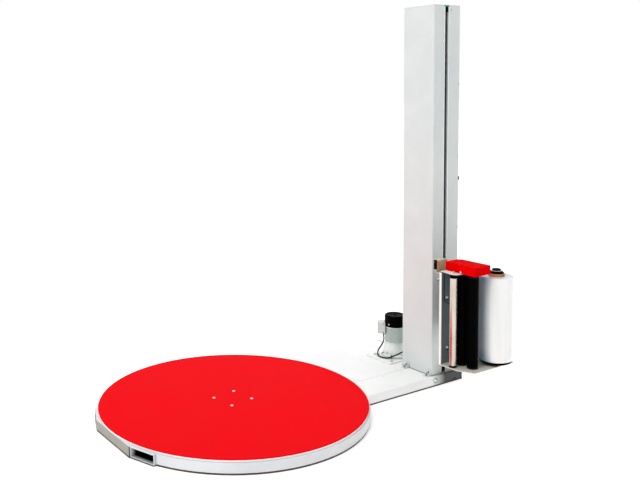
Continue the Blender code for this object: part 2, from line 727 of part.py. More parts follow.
def build_mast():
    """Slotted column, its cap and the two foot brackets."""
    lip = MAST_FRONT + SLOT_LIP
    path = [
        (SLOT_LEFT, lip), (SLOT_LEFT, MAST_FRONT), (MAST_LEFT, MAST_FRONT), (MAST_LEFT, MAST_BACK),
        (MAST_RIGHT, MAST_BACK), (MAST_RIGHT, MAST_FRONT), (SLOT_RIGHT, MAST_FRONT), (SLOT_RIGHT, lip),
    ]
    outline = folded_sheet(round_corners(path, MAST_CORNER, 3), SHEET)
    low, high = DECK_TOP + GAP, MAST_TOP - MAST_CAP - GAP
    column = place("mast_column", prism(outline, low, high), "white_paint")
    inner_back = MAST_BACK - SHEET
    pin = cylinder(0.008, -0.220, inner_back + 0.001, (LIFT_X, 0.0, PULLEY_HIGH_Z), 16, "Y")
    combine(column, [pin], "UNION")
    door_hole = box((1.410, -0.320, DOOR_LOW + 0.020), (1.440, -0.140, DOOR_HIGH - 0.020))
    cable_hole = cylinder(0.0075, -0.13, -0.09, (1.250, 0.0, 0.1435), 16, "Y")
    combine(column, [door_hole, cable_hole], "DIFFERENCE")

    corners = [
        (MAST_LEFT, MAST_FRONT), (MAST_RIGHT, MAST_FRONT), (MAST_RIGHT, MAST_BACK), (MAST_LEFT, MAST_BACK),
    ]
    place("mast_top_cap", prism(corners, MAST_TOP - MAST_CAP, MAST_TOP), "white_paint")

    foot = DECK_TOP + GAP
    wall = MAST_LEFT - GAP
    angle_path = [(wall - 0.040, foot), (wall, foot), (wall, foot + 0.034)]
    angle_outline = offset_path(angle_path, -0.005)
    for name, start in (("foot_bracket_near", -0.345), ("foot_bracket_far", -0.166)):
        place(name, prism(angle_path + angle_outline[::-1], start, start + 0.030, "Y"), "white_paint")


def build_lift():
    """Lift gearmotor, the two pulleys and the belt between them."""
    low_centre = (LIFT_X, 0.0, PULLEY_LOW_Z)
    body = box((1.262, -0.188, 0.155), (1.352, MAST_BACK - SHEET - GAP, 0.245))
    gearmotor = place("lift_gearmotor", body, "grey_paint")
    combine(gearmotor, [cylinder(0.037, 0.240, 0.400, (LIFT_X, -0.1487, 0.0), 24)], "UNION")
    combine(gearmotor, [cylinder(0.0083, -0.200, -0.150, low_centre, 16, "Y")], "DIFFERENCE")

    front, back = LIFT_Y - BELT_HALF - 0.001, LIFT_Y + BELT_HALF + 0.001
    driver = [
        (0.0, front), (PULLEY_RADIUS, front), (PULLEY_RADIUS, back), (0.008, back),
        (0.008, -0.155), (0.0, -0.155),
    ]
    place("lift_drive_pulley", lathe(driver, low_centre, 24, "Y"), "steel", (LIFT_X, LIFT_Y, PULLEY_LOW_Z))
    idler = tube(PULLEY_RADIUS, 0.0083, front, back, (LIFT_X, 0.0, PULLEY_HIGH_Z), 24, "Y")
    place("lift_idler_pulley", idler, "steel", (LIFT_X, LIFT_Y, PULLEY_HIGH_Z))

    ends = ((LIFT_X, PULLEY_LOW_Z), (LIFT_X, PULLEY_HIGH_Z))
    reach = PULLEY_RADIUS + 0.0005
    inner = loop_outline(ends[0], reach, ends[1], reach, 12)
    outer = loop_outline(ends[0], reach + BELT_THICKNESS, ends[1], reach + BELT_THICKNESS, 12)
    belt = ring_prism(outer, inner, LIFT_Y - BELT_HALF, LIFT_Y + BELT_HALF, "Y")
    place("lift_belt", belt, "black_rubber")


def build_controls():
    """Cabinet door with its main switch, and the control box with its buttons and knob."""
    hinge_line = (PANEL_X + DOOR_THICKNESS / 2.0, DOOR_RIGHT, (DOOR_LOW + DOOR_HIGH) / 2.0)
    door = box((PANEL_X, DOOR_LEFT, DOOR_LOW), (PANEL_X + DOOR_THICKNESS, DOOR_RIGHT, DOOR_HIGH))
    place("cabinet_door", door, "white_paint", hinge_line)

    face = PANEL_X + DOOR_THICKNESS + GAP
    switch = lathe([
        (0.0, face), (0.026, face), (0.026, face + 0.006), (0.018, face + 0.010), (0.018, face + 0.040),
        (0.0, face + 0.040),
    ], (0.0, SWITCH_Y, SWITCH_Z), 24, "X")
    place("main_switch", switch, "black_plastic", (face, SWITCH_Y, SWITCH_Z))

    control_box = box((PANEL_X, -0.300, 1.525), (CONTROL_FACE, -0.130, 1.825))
    body = place("control_box", control_box, "white_paint")
    bore = BUTTON_RADIUS + 0.0005
    spots = ((START_Y, BUTTON_Z), (RESET_Y, BUTTON_Z), (STOP_Y, STOP_Z), (KNOB_Y, KNOB_Z))
    bores = [cylinder(bore, PANEL_X + 0.004, 1.50, (0.0, y, z), 20, "X") for y, z in spots]
    combine(body, bores, "DIFFERENCE")

    stem = CONTROL_FACE - 0.009
    buttons = (("start_button", START_Y, "green_plastic"), ("reset_button", RESET_Y, "black_plastic"))
    for name, y, finish in buttons:
        profile = [
            (0.0, stem), (BUTTON_RADIUS, stem), (BUTTON_RADIUS, CONTROL_FACE + 0.006),
            (BUTTON_RADIUS - 0.002, CONTROL_FACE + 0.007), (0.0, CONTROL_FACE + 0.007),
        ]
        button = lathe(profile, (0.0, y, BUTTON_Z), 20, "X")
        place(name, button, finish, (CONTROL_FACE, y, BUTTON_Z))
    mushroom = [
        (0.0, stem), (BUTTON_RADIUS, stem), (BUTTON_RADIUS, CONTROL_FACE + 0.012),
        (0.020, CONTROL_FACE + 0.014), (0.020, CONTROL_FACE + 0.022), (0.014, CONTROL_FACE + 0.027),
        (0.0, CONTROL_FACE + 0.028),
    ]
    stop = lathe(mushroom, (0.0, STOP_Y, STOP_Z), 28, "X")
    place("emergency_stop", stop, "red_plastic", (CONTROL_FACE, STOP_Y, STOP_Z))
    knob_profile = [
        (0.0, stem), (BUTTON_RADIUS, stem), (BUTTON_RADIUS, CONTROL_FACE + 0.002),
        (0.014, CONTROL_FACE + 0.002), (0.013, CONTROL_FACE + 0.016), (0.0, CONTROL_FACE + 0.016),
    ]
    knob = lathe(knob_profile, (0.0, KNOB_Y, KNOB_Z), 24, "X")
    place("speed_knob", knob, "black_plastic", (CONTROL_FACE, KNOB_Y, KNOB_Z))


# ---------------------------------------------------------------- film carriage


def build_carriage(carriage):
    """Trolley, guide wheels, back plate, end plates, gear cover and photocell."""
    arm = box((1.301, -0.5652, 0.355), (1.313, -0.285, 0.665))
    trolley = place("lift_trolley", arm, "steel", parent=carriage)
    flange = box((1.240, CARRIAGE_BACK + GAP, 0.360), (BACK_PLATE_RIGHT - 0.005, -0.5642, 0.660))
    lug = box((1.310, -0.300, 0.520), (1.352, -0.186, 0.550))
    combine(trolley, [flange, lug], "UNION")
    run = LIFT_X + PULLEY_RADIUS + 0.0005
    play = 0.0012
    hole_low = (run - play, LIFT_Y - BELT_HALF - play, 0.50)
    hole_high = (run + BELT_THICKNESS + play, LIFT_Y + BELT_HALF + play, 0.57)
    belt_hole = box(hole_low, hole_high)
    guide_y = MAST_FRONT + SHEET + 0.018 + 0.0004
    guide_heights = (0.375, 0.645)
    bores = [cylinder(0.0063, 1.29, 1.33, (0.0, guide_y, height), 16, "X") for height in guide_heights]
    combine(trolley, [belt_hole] + bores, "DIFFERENCE")
    profile = [
        (0.0, 1.245), (0.018, 1.245), (0.018, 1.262), (0.006, 1.262),
        (0.006, 1.352), (0.018, 1.352), (0.018, 1.369), (0.0, 1.369),
    ]
    for name, height in zip(("guide_wheel_lower", "guide_wheel_upper"), guide_heights):
        wheels = lathe(profile, (0.0, guide_y, height), 20, "X")
        place(name, wheels, "black_plastic", (LIFT_X, guide_y, height), carriage)

    path = [
        (CARRIAGE_LEFT, CARRIAGE_BACK - 0.014), (CARRIAGE_LEFT, CARRIAGE_BACK),
        (BACK_PLATE_RIGHT, CARRIAGE_BACK), (BACK_PLATE_RIGHT, CARRIAGE_BACK - 0.020),
    ]
    back = prism(folded_sheet(path, BACK_SHEET), CARRIAGE_BOTTOM + GAP, CARRIAGE_TOP - GAP)
    place("carriage_back_plate", back, "grey_paint", parent=carriage)

    outline = [
        (CARRIAGE_LEFT, CARRIAGE_BACK), (CARRIAGE_LEFT, -0.697), (1.067, CARRIAGE_FRONT),
        (1.385, CARRIAGE_FRONT), (CARRIAGE_RIGHT, CARRIAGE_FRONT + 0.015), (CARRIAGE_RIGHT, CARRIAGE_BACK),
    ]
    low = CARRIAGE_BOTTOM - CARRIAGE_PLATE
    bottom_shape = prism(outline, low, CARRIAGE_BOTTOM)
    bottom = place("carriage_bottom_plate", bottom_shape, "white_paint", parent=carriage)
    shafts = shaft_holes()
    shafts.append(cylinder(0.0103, 0.20, 0.30, (*SPOOL, 0.0), 20))
    combine(bottom, shafts, "DIFFERENCE")

    outline = [
        (CARRIAGE_LEFT, CARRIAGE_BACK), (CARRIAGE_LEFT - 0.014, -0.664), (CARRIAGE_LEFT - 0.010, -0.684),
        (CARRIAGE_LEFT + 0.004, -0.696), (1.086, -0.696), (1.086, COVER_FRONT + 0.022),
        (COVER_RIGHT - 0.024, COVER_FRONT + 0.022), (COVER_RIGHT - 0.024, CARRIAGE_BACK),
    ]
    high = CARRIAGE_TOP + CARRIAGE_PLATE
    top = place("carriage_top_plate", prism(outline, CARRIAGE_TOP, high), "white_paint", parent=carriage)
    combine(top, shaft_holes(), "DIFFERENCE")

    build_gear_cover(high + GAP, carriage)

    bracket_path = [
        (CARRIAGE_BACK + GAP, 0.700), (CARRIAGE_BACK + GAP, 0.7560), (-0.537, 0.7560), (-0.537, 0.820),
        (-0.503, 0.820),
    ]
    bracket = prism(folded_sheet(bracket_path, SHEET), 1.030, 1.120, "X")
    place("photocell_bracket", bracket, "zinc", parent=carriage)
    photocell = box((1.0165, -0.543, 0.774), (1.030 - GAP, -0.531, 0.826))
    place("photocell", photocell, "black_plastic", parent=carriage)


def shaft_holes():
    """Through holes for the three roller shafts."""
    holes = []
    shafts = ((REAR_ROLLER, ROLLER_SHAFT), (FRONT_ROLLER, ROLLER_SHAFT), (IDLE_ROLLER, IDLE_SHAFT))
    for spot, radius in shafts:
        holes.append(cylinder(radius + BORE_CLEARANCE, 0.20, 0.80, (*spot, 0.0), 20))
    return holes


def build_gear_cover(low, carriage):
    """The red tray over the gears, open underneath, with one clipped corner."""
    outline = [
        (COVER_LEFT, COVER_FRONT), (COVER_RIGHT, COVER_FRONT), (COVER_RIGHT, COVER_BACK - 0.022),
        (COVER_RIGHT - 0.020, COVER_BACK), (COVER_LEFT + 0.012, COVER_BACK),
    ]
    centre = Vector(((COVER_LEFT + COVER_RIGHT) / 2.0, (COVER_FRONT + COVER_BACK) / 2.0))
    hollow = []
    for x, y in outline:
        inward_x = GEAR_COVER_WALL if x < centre.x else -GEAR_COVER_WALL
        inward_y = GEAR_COVER_WALL if y < centre.y else -GEAR_COVER_WALL
        hollow.append((x + inward_x, y + inward_y))
    cover = place("gear_cover", prism(outline, low, GEAR_COVER_TOP), "red_paint", parent=carriage)
    combine(cover, [prism(hollow, low - 0.010, GEAR_COVER_TOP - GEAR_COVER_WALL)], "DIFFERENCE")


def build_rollers(carriage):
    """Two rubber pre-stretch rollers with their gears, and the idle roller."""
    shaft_low = CARRIAGE_BOTTOM - CARRIAGE_PLATE
    profile = [
        (0.0, shaft_low), (ROLLER_SHAFT, shaft_low), (ROLLER_SHAFT, ROLLER_LOW),
        (ROLLER_RADIUS, ROLLER_LOW), (ROLLER_RADIUS, ROLLER_HIGH), (ROLLER_SHAFT, ROLLER_HIGH),
        (ROLLER_SHAFT, 0.7945), (0.0, 0.7945),
    ]
    gears = (
        ("rear", REAR_ROLLER, REAR_GEAR_TEETH, ROLLER_ANGLE),
        ("front", FRONT_ROLLER, FRONT_GEAR_TEETH, ROLLER_ANGLE + math.pi + math.pi / FRONT_GEAR_TEETH),
    )
    for name, spot, teeth, phase in gears:
        centre = (*spot, 0.0)
        place("prestretch_roller_" + name, lathe(profile, centre, 32), "black_rubber", centre, carriage)
        pitch_radius = GEAR_MODULE * teeth / 2.0
        root, tip = pitch_radius - 0.0020, pitch_radius + 0.0015
        gear_shape = prism(toothed_outline(spot, root, tip, teeth, phase, 0.50, 0.24), GEAR_LOW, GEAR_HIGH)
        gear = place("prestretch_gear_" + name, gear_shape, "steel", centre, carriage)
        combine(gear, [cylinder(ROLLER_SHAFT + BORE_CLEARANCE, 0.70, 0.90, centre, 20)], "DIFFERENCE")

    cap_radius = IDLE_RADIUS - 0.002
    cap_low, cap_high = CARRIAGE_BOTTOM + 0.001, CARRIAGE_TOP - 0.001
    idle = [
        (0.0, shaft_low), (IDLE_SHAFT, shaft_low), (IDLE_SHAFT, cap_low), (cap_radius, cap_low),
        (cap_radius, IDLE_LOW), (IDLE_RADIUS, IDLE_LOW), (IDLE_RADIUS, IDLE_HIGH), (cap_radius, IDLE_HIGH),
        (cap_radius, cap_high), (IDLE_SHAFT, cap_high), (IDLE_SHAFT, 0.7800), (0.0, 0.7800),
    ]
    centre = (*IDLE_ROLLER, 0.0)
    place("idle_roller", lathe(idle, centre, 28), "aluminium", centre, carriage)


def build_spool(carriage):
    """Mandrel, brake disc, cardboard core, film roll and locking knob, which turn together."""
    centre = (*SPOOL, 0.0)
    axis = holder("spool_axis", Vector(centre))
    axis.parent = carriage
    axis.location = Vector(centre) - carriage.location
    disc_high = FILM_LOW - 2.0 * GAP
    mandrel = [
        (0.0, CARRIAGE_BOTTOM - CARRIAGE_PLATE), (0.010, CARRIAGE_BOTTOM - CARRIAGE_PLATE),
        (0.010, CARRIAGE_BOTTOM + GAP), (0.045, CARRIAGE_BOTTOM + GAP), (0.045, DISC_LOW - GAP),
        (0.0375, DISC_LOW - GAP), (0.0375, disc_high + 0.018), (0.012, disc_high + 0.018),
        (0.012, 0.7640), (0.0, 0.7640),
    ]
    place("film_mandrel", lathe(mandrel, centre, 28), "steel", centre, carriage)
    disc = tube(DISC_RADIUS, CORE_BORE, DISC_LOW, disc_high, centre, 40)
    place("brake_disc", disc, "black_plastic", centre, carriage)
    core = tube(CORE_RADIUS, CORE_BORE, disc_high + GAP, CORE_HIGH, centre, 32)
    place("film_core", core, "cardboard", centre, carriage)
    film = tube(FILM_RADIUS, CORE_RADIUS + GAP, FILM_LOW, FILM_HIGH, centre, 48)
    place("film_roll", film, "film", centre, carriage)
    base = CORE_HIGH + GAP
    knob = [
        (0.0123, 0.7350), (0.0375, 0.7350), (0.0375, base), (0.0400, base), (0.0400, 0.7570),
        (0.0300, 0.7660), (0.0160, 0.7660), (0.0160, 0.7700), (0.0235, 0.7700), (0.0235, 0.7745),
        (0.0215, 0.7760), (0.0, 0.7760), (0.0, 0.7645), (0.0123, 0.7645),
    ]
    place("mandrel_knob", lathe(knob, centre, 28, closed=True), "black_plastic", centre, carriage)


# ---------------------------------------------------------------- whole machine


def main():
    """Clears the scene and builds every piece."""
    for old in list(bpy.data.objects):
        bpy.data.objects.remove(old, do_unlink=True)
    for name, (colour, roughness, metallic) in FINISHES.items():
        MATERIALS[name] = make_material(name, colour, roughness, metallic)
    build_base()
    build_turntable()
    build_platform()
    build_drive()
    build_mast()
    build_lift()
    build_controls()
    carriage = holder("carriage_axis", (0.0, 0.0, 0.0))
    build_carriage(carriage)
    build_rollers(carriage)
    build_spool(carriage)


main()
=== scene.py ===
import math
import random

import bmesh
import bpy
from mathutils import Matrix, Vector


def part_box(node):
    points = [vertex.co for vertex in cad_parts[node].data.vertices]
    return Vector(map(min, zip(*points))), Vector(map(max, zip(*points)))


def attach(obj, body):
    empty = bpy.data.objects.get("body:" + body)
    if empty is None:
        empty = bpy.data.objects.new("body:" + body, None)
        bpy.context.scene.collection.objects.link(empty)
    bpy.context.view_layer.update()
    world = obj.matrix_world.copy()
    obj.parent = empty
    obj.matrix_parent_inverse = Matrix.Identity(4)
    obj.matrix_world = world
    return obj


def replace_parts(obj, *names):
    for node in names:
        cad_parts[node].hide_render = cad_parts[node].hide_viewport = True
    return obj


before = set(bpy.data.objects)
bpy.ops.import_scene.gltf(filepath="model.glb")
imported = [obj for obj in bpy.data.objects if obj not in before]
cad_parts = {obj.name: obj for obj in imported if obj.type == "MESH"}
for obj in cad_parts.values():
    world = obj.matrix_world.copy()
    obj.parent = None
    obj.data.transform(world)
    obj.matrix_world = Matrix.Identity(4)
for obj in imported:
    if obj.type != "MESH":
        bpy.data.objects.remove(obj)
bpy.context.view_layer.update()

UP, DOWN = (0.0, 0.0, 1.0), (0.0, 0.0, -1.0)
FRONT, BACK = (0.0, -1.0, 0.0), (0.0, 1.0, 0.0)
LEFT, RIGHT = (-1.0, 0.0, 0.0), (1.0, 0.0, 0.0)

# ---------------------------------------------------------------- camera

CAMERA_PLACE = (-2.4328, -3.6904, 1.8118)
CAMERA_YAW = math.radians(58.27)         # from +X towards +Y
CAMERA_DOWN = math.radians(5.07)
CAMERA_ROLL = math.radians(-0.95)
CAMERA_LENS = 45.69                      # on a 36 mm wide sensor
CAMERA_SHIFT = (0.1781, -0.1250)


def build_camera():
    """A camera standing beside the turntable, looking past it at the mast."""
    ahead = Vector((
        math.cos(CAMERA_YAW) * math.cos(CAMERA_DOWN),
        math.sin(CAMERA_YAW) * math.cos(CAMERA_DOWN),
        -math.sin(CAMERA_DOWN),
    ))
    level = Vector((math.sin(CAMERA_YAW), -math.cos(CAMERA_YAW), 0.0))
    upright = level.cross(ahead)
    right = level * math.cos(CAMERA_ROLL) + upright * math.sin(CAMERA_ROLL)
    up = upright * math.cos(CAMERA_ROLL) - level * math.sin(CAMERA_ROLL)
    data = bpy.data.cameras.new("camera")
    data.lens = CAMERA_LENS
    data.shift_x, data.shift_y = CAMERA_SHIFT
    data.clip_end = 200.0
    camera = bpy.data.objects.new("camera", data)
    bpy.context.collection.objects.link(camera)
    turn = Matrix((right, up, -ahead)).transposed().to_4x4()
    camera.matrix_world = Matrix.Translation(CAMERA_PLACE) @ turn
    bpy.context.scene.camera = camera


build_camera()

# ---------------------------------------------------------------- materials


def linear(colour):
    """A display colour, 0 to 255, as the linear colour that shaders use."""
    values = []
    for part in colour:
        share = part / 255.0
        values.append(share / 12.92 if share <= 0.04045 else ((share + 0.055) / 1.055) ** 2.4)
    return (*values, 1.0)


EVEN = (1.0, 1.0, 1.0)


def noise(tree, scale, detail=3.0, stretch=EVEN, warp=0.0):
    """A noise texture fixed to the piece, in features per metre along each axis."""
    coords = tree.nodes.new("ShaderNodeTexCoord")
    mapping = tree.nodes.new("ShaderNodeMapping")
    mapping.inputs["Scale"].default_value = stretch
    texture = tree.nodes.new("ShaderNodeTexNoise")
    texture.inputs["Scale"].default_value = scale
    texture.inputs["Detail"].default_value = detail
    texture.inputs["Distortion"].default_value = warp
    tree.links.new(coords.outputs["Object"], mapping.inputs["Vector"])
    tree.links.new(mapping.outputs["Vector"], texture.inputs["Vector"])
    return texture.outputs["Fac"]


def ranged(tree, value, low, high, to_low, to_high):
    """A value mapped from one range to another, held inside it."""
    node = tree.nodes.new("ShaderNodeMapRange")
    for key, number in zip(("From Min", "From Max", "To Min", "To Max"), (low, high, to_low, to_high)):
        node.inputs[key].default_value = number
    tree.links.new(value, node.inputs["Value"])
    return node.outputs["Result"]


def mixed(tree, share, first, second):
    """Two colours mixed by a share; each is a display colour or a node's output."""
    node = tree.nodes.new("ShaderNodeMix")
    node.data_type = "RGBA"
    tree.links.new(share, node.inputs["Factor"])
    for key, colour in (("A", first), ("B", second)):
        socket = next(s for s in node.inputs if s.name == key and s.type == "RGBA")
        if isinstance(colour, tuple):
            socket.default_value = linear(colour)
        else:
            tree.links.new(colour, socket)
    return next(s for s in node.outputs if s.type == "RGBA")


def graded(tree, limits):
    """A share that grows along directions of the piece; limits hold (direction, none at, full at)."""
    coords = tree.nodes.new("ShaderNodeTexCoord")
    share = None
    for direction, none_at, full_at in limits:
        along = tree.nodes.new("ShaderNodeVectorMath")
        along.operation = "DOT_PRODUCT"
        along.inputs[1].default_value = direction
        tree.links.new(coords.outputs["Object"], along.inputs[0])
        part = ranged(tree, along.outputs["Value"], none_at, full_at, 0.0, 1.0)
        if share is not None:
            both = tree.nodes.new("ShaderNodeMath")
            both.operation = "MULTIPLY"
            tree.links.new(share, both.inputs[0])
            tree.links.new(part, both.inputs[1])
            part = both.outputs["Value"]
        share = part
    return share


def finish(
    name, dark, light, roughness=(0.34, 0.46), grain=650.0, bump=0.10, depth=0.0002, stretch=EVEN,
    clouds=5.0, cloud_stretch=EVEN, metallic=0.0, coat=0.0, occlusion_shade=None, occlusion_reach=0.012,
    specks=None, glow=0.0, gloss=0.5, graded_tone=None, scatter=0.0,
):
    """A surface whose colour drifts between two tones, with its own grain and gloss changes, painted shade in
    its corners and a tone graded along given directions.
    """
    material = bpy.data.materials.new(name)
    material.use_nodes = True
    tree = material.node_tree
    shader = tree.nodes["Principled BSDF"]
    shader.inputs["Metallic"].default_value = metallic
    shader.inputs["Specular IOR Level"].default_value = gloss
    shader.inputs["Coat Weight"].default_value = coat
    shader.inputs["Coat Roughness"].default_value = 0.15
    fine = noise(tree, grain, 2.0, stretch)
    broad = noise(tree, clouds, 5.0, cloud_stretch, 0.4)
    colour = mixed(tree, ranged(tree, broad, 0.36, 0.64, 0.0, 1.0), dark, light)
    if specks is not None:
        spots = noise(tree, grain * 0.35, 1.0, stretch)
        colour = mixed(tree, ranged(tree, spots, 0.64, 0.74, 0.0, 0.7), colour, specks)
    # Painted shade: the colour is pulled towards the given shade colour in corners and between parts, where
    # ambient occlusion finds them.
    if occlusion_shade is not None:
        closeness = tree.nodes.new("ShaderNodeAmbientOcclusion")
        closeness.samples = 6
        closeness.inputs["Distance"].default_value = occlusion_reach
        share = ranged(tree, closeness.outputs["AO"], 0.30, 0.85, 0.75, 0.0)
        colour = mixed(tree, share, colour, occlusion_shade)
    # A tone graded along directions of the piece; the finishes below use it mostly for painted shade and
    # painted shadow.
    if graded_tone is not None:
        tone, limits = graded_tone
        colour = mixed(tree, graded(tree, limits), colour, tone)
    tree.links.new(colour, shader.inputs["Base Color"])
    tree.links.new(ranged(tree, broad, 0.3, 0.7, *roughness), shader.inputs["Roughness"])
    if bump > 0.0:
        relief = tree.nodes.new("ShaderNodeBump")
        relief.inputs["Strength"].default_value = bump
        relief.inputs["Distance"].default_value = depth
        tree.links.new(fine, relief.inputs["Height"])
        tree.links.new(relief.outputs["Normal"], shader.inputs["Normal"])
    if scatter > 0.0:
        shader.inputs["Subsurface Weight"].default_value = 0.6
        shader.inputs["Subsurface Radius"].default_value = (0.55, 0.85, 1.0)
        shader.inputs["Subsurface Scale"].default_value = scatter
    if glow > 0.0:
        shader.inputs["Emission Color"].default_value = linear(light)
        shader.inputs["Emission Strength"].default_value = glow
    return material


# In each finish below, the colour given for close corners is painted shade, mixed in where ambient occlusion
# finds corners and parts close by.
WHITE = finish("powder_coat_white", (209, 212, 211), (215, 217, 216), occlusion_shade=(128, 130, 128), gloss=0.35)
# Painted shadow of the carriage: the mast's front face goes darker towards its foot and towards the slot.
MAST_WHITE = finish(
    "mast_white", (206, 212, 211), (212, 217, 216),
    occlusion_shade=(128, 130, 128), gloss=0.3,
    graded_tone=((146, 148, 146), ((RIGHT, 1.215, 1.300), (UP, 0.220, 0.060), (BACK, -0.300, -0.345))),
)
# Darker on the flat nose face, below its rounded top.
RING_WHITE = finish(
    "ring_white", (215, 217, 220), (223, 225, 227), (0.36, 0.48), 650.0,
    occlusion_shade=(200, 200, 198), gloss=0.3,
    graded_tone=((150, 147, 136), ((RIGHT, -0.7435, -0.7465), (UP, 0.0596, 0.0580))),
)
# A brighter copy of the white paint: a painted highlight on the slot's edges and on the band under the
# turntable's edge.
EDGE_HIGHLIGHT_WHITE = finish("edge_painted_highlight", (240, 242, 244), (247, 248, 249), bump=0.08)
# A brighter copy of the white paint, standing in for the light that the deck catches.
DECK_LIT_WHITE = finish(
    "powder_coat_deck_lit", (240, 241, 240), (246, 247, 246), (0.38, 0.50), 650.0,
    occlusion_shade=(200, 198, 194), specks=(226, 226, 224), gloss=0.3,
    # Painted shadow of the carriage: the deck's front edge goes dark right of x 1.19.
    graded_tone=((66, 70, 67), ((RIGHT, 1.19, 1.30), (BACK, -0.3470, -0.3500))),
)
# Painted shadow of the carriage: the platform frame's front side goes dark towards its end, and its corners
# within 3 cm go dark as well.
END_WHITE = finish(
    "platform_end_white", (207, 212, 212), (213, 217, 217),
    occlusion_shade=(60, 66, 66), occlusion_reach=0.03, gloss=0.3,
    graded_tone=((62, 66, 63), ((RIGHT, 1.17, 1.34), (BACK, -0.300, -0.350))),
)


def pocket_white(name, side):
    """White outside, with painted shade going black down inside a fork pocket, whose mouth faces partly to
    one side.
    """
    inwards = (0.940, 0.340 * side, 0.0)
    return finish(
        name, (206, 213, 218), (214, 220, 224), (0.38, 0.50), 650.0, gloss=0.2,
        graded_tone=((2, 2, 3), ((inwards, -0.762, -0.736),)),
    )


POCKET_NEAR = pocket_white("fork_pocket_near", 1.0)
POCKET_FAR = pocket_white("fork_pocket_far", -1.0)
# Painted shade: black on the top plate's underside.
TOP_PLATE = finish(
    "top_plate_white", (226, 229, 230), (234, 236, 236), gloss=0.3,
    graded_tone=((22, 24, 26), ((UP, 0.76945, 0.76915),)),
)
BOTTOM_PLATE = finish(
    "bottom_plate_white", (198, 195, 184), (206, 203, 192),
    occlusion_shade=(128, 126, 118), gloss=0.3,
)
RED = finish(
    "turntable_red", (232, 0, 12), (237, 3, 17), (0.55, 0.68), 480.0, 0.18, 0.0004,
    clouds=2.2, occlusion_shade=(190, 2, 10), gloss=0.02,
)
COVER_RED = finish(
    "cover_red", (214, 0, 2), (222, 2, 5), (0.50, 0.60), 700.0, 0.12,
    occlusion_shade=(150, 0, 4), gloss=0.004,
)
PRIMER = finish("base_primer", (62, 44, 38), (96, 66, 56), (0.62, 0.80), 300.0, 0.30, 0.0004, clouds=14.0)
MOTOR_GREY = finish(
    "motor_grey_green", (166, 184, 178), (186, 202, 196), (0.34, 0.46), 420.0, 0.22,
    clouds=9.0, cloud_stretch=(1.0, 1.0, 0.25), metallic=0.15, occlusion_shade=(84, 92, 88),
)
CASTING = finish(
    "gearbox_casting", (218, 223, 220), (233, 237, 234), (0.42, 0.56), 260.0, 0.35,
    0.0004, clouds=16.0, metallic=0.1, occlusion_shade=(108, 116, 113),
)
# The back plate is white: its face is coloured grey as painted shade, and its bent front edge, left of x
# 1.0242, keeps the white.
WEB_SHADE_GREY = finish(
    "carriage_web_painted_shade", (106, 118, 122), (124, 136, 140), (0.34, 0.46), 600.0, 0.12,
    cloud_stretch=(1.0, 1.0, 0.3), graded_tone=((240, 240, 238), ((RIGHT, 1.0262, 1.0242),)),
)
BLACK = finish("moulded_black", (1, 1, 1), (3, 3, 3), (0.34, 0.46), 1100.0, 0.22, gloss=0.02)
SATIN_BLACK = finish("satin_black_steel", (5, 5, 6), (11, 11, 12), (0.32, 0.44), 700.0, 0.14, gloss=0.12)
CABLE_BLACK = finish("cable_black", (3, 3, 4), (9, 9, 10), (0.42, 0.55), 900.0, 0.20, gloss=0.12)
ROLLER_RUBBER = finish(
    "roller_rubber", (1, 1, 1), (3, 3, 3), (0.50, 0.62), 60.0, 0.30, 0.0003,
    stretch=(0.2, 0.2, 22.0), clouds=12.0, cloud_stretch=(1.0, 1.0, 0.2), gloss=0.02,
)
TYRE = finish("wheel_tyre", (18, 18, 18), (34, 34, 33), (0.60, 0.75), 500.0, 0.35, 0.0003)
# Painted shade: the film turns darker and blue where ambient occlusion finds the rollers and parts within 10
# cm.
FILM = finish(
    "stretch_film", (234, 234, 232), (246, 245, 243), (0.16, 0.30), 46.0, 0.30, 0.0006,
    stretch=(1.0, 1.0, 5.0), clouds=10.0, cloud_stretch=(1.6, 1.6, 0.12), coat=0.35,
    occlusion_shade=(56, 140, 190), occlusion_reach=0.10, scatter=0.030,
)
BELT = finish(
    "belt_blue_grey", (60, 112, 124), (76, 130, 140), (0.50, 0.62), 60.0, 0.30, 0.0003,
    stretch=(1.0, 1.0, 8.0), clouds=12.0, gloss=0.2,
)
BOARD = finish(
    "core_board", (186, 112, 58), (212, 138, 78), (0.70, 0.85), 700.0, 0.40, 0.0003,
    clouds=26.0, cloud_stretch=(1.0, 1.0, 0.3),
)
ZINC = finish(
    "yellow_zinc", (186, 174, 132), (208, 200, 168), (0.34, 0.48), 500.0, 0.12,
    clouds=22.0, metallic=0.20,
)
BOLT_ZINC = finish(
    "bright_zinc", (196, 198, 196), (226, 227, 224), (0.22, 0.36), 800.0, 0.12,
    clouds=60.0, metallic=0.9,
)
# Painted highlight: zinc bolt heads coloured near white and barely metallic, so they show as bright dots.
HIGHLIGHT_BOLT = finish(
    "zinc_painted_highlight", (226, 228, 226), (240, 241, 240), (0.30, 0.42), 800.0,
    clouds=60.0, metallic=0.15,
)
DARK_BOLT = finish(
    "black_oxide", (36, 36, 38), (58, 58, 60), (0.34, 0.48), 700.0, 0.15,
    clouds=60.0, metallic=0.8,
)
STEEL = finish(
    "turned_steel", (168, 170, 172), (196, 198, 199), (0.22, 0.36), 90.0, 0.18,
    stretch=(1.0, 1.0, 12.0), clouds=18.0, metallic=1.0,
)
ROLLED_STEEL = finish(
    "rolled_steel", (120, 122, 122), (152, 153, 151), (0.32, 0.46), 300.0, 0.20,
    clouds=12.0, metallic=0.9, occlusion_shade=(60, 58, 54),
)
ALUMINIUM = finish(
    "polished_aluminium", (190, 178, 166), (206, 196, 184), (0.13, 0.20), 70.0,
    stretch=(1.0, 1.0, 14.0), clouds=8.0, metallic=0.85,
)
BOX_GREY = finish(
    "terminal_box_grey", (214, 217, 214), (226, 228, 225), (0.42, 0.55), 900.0, 0.18,
    occlusion_shade=(140, 142, 138),
)
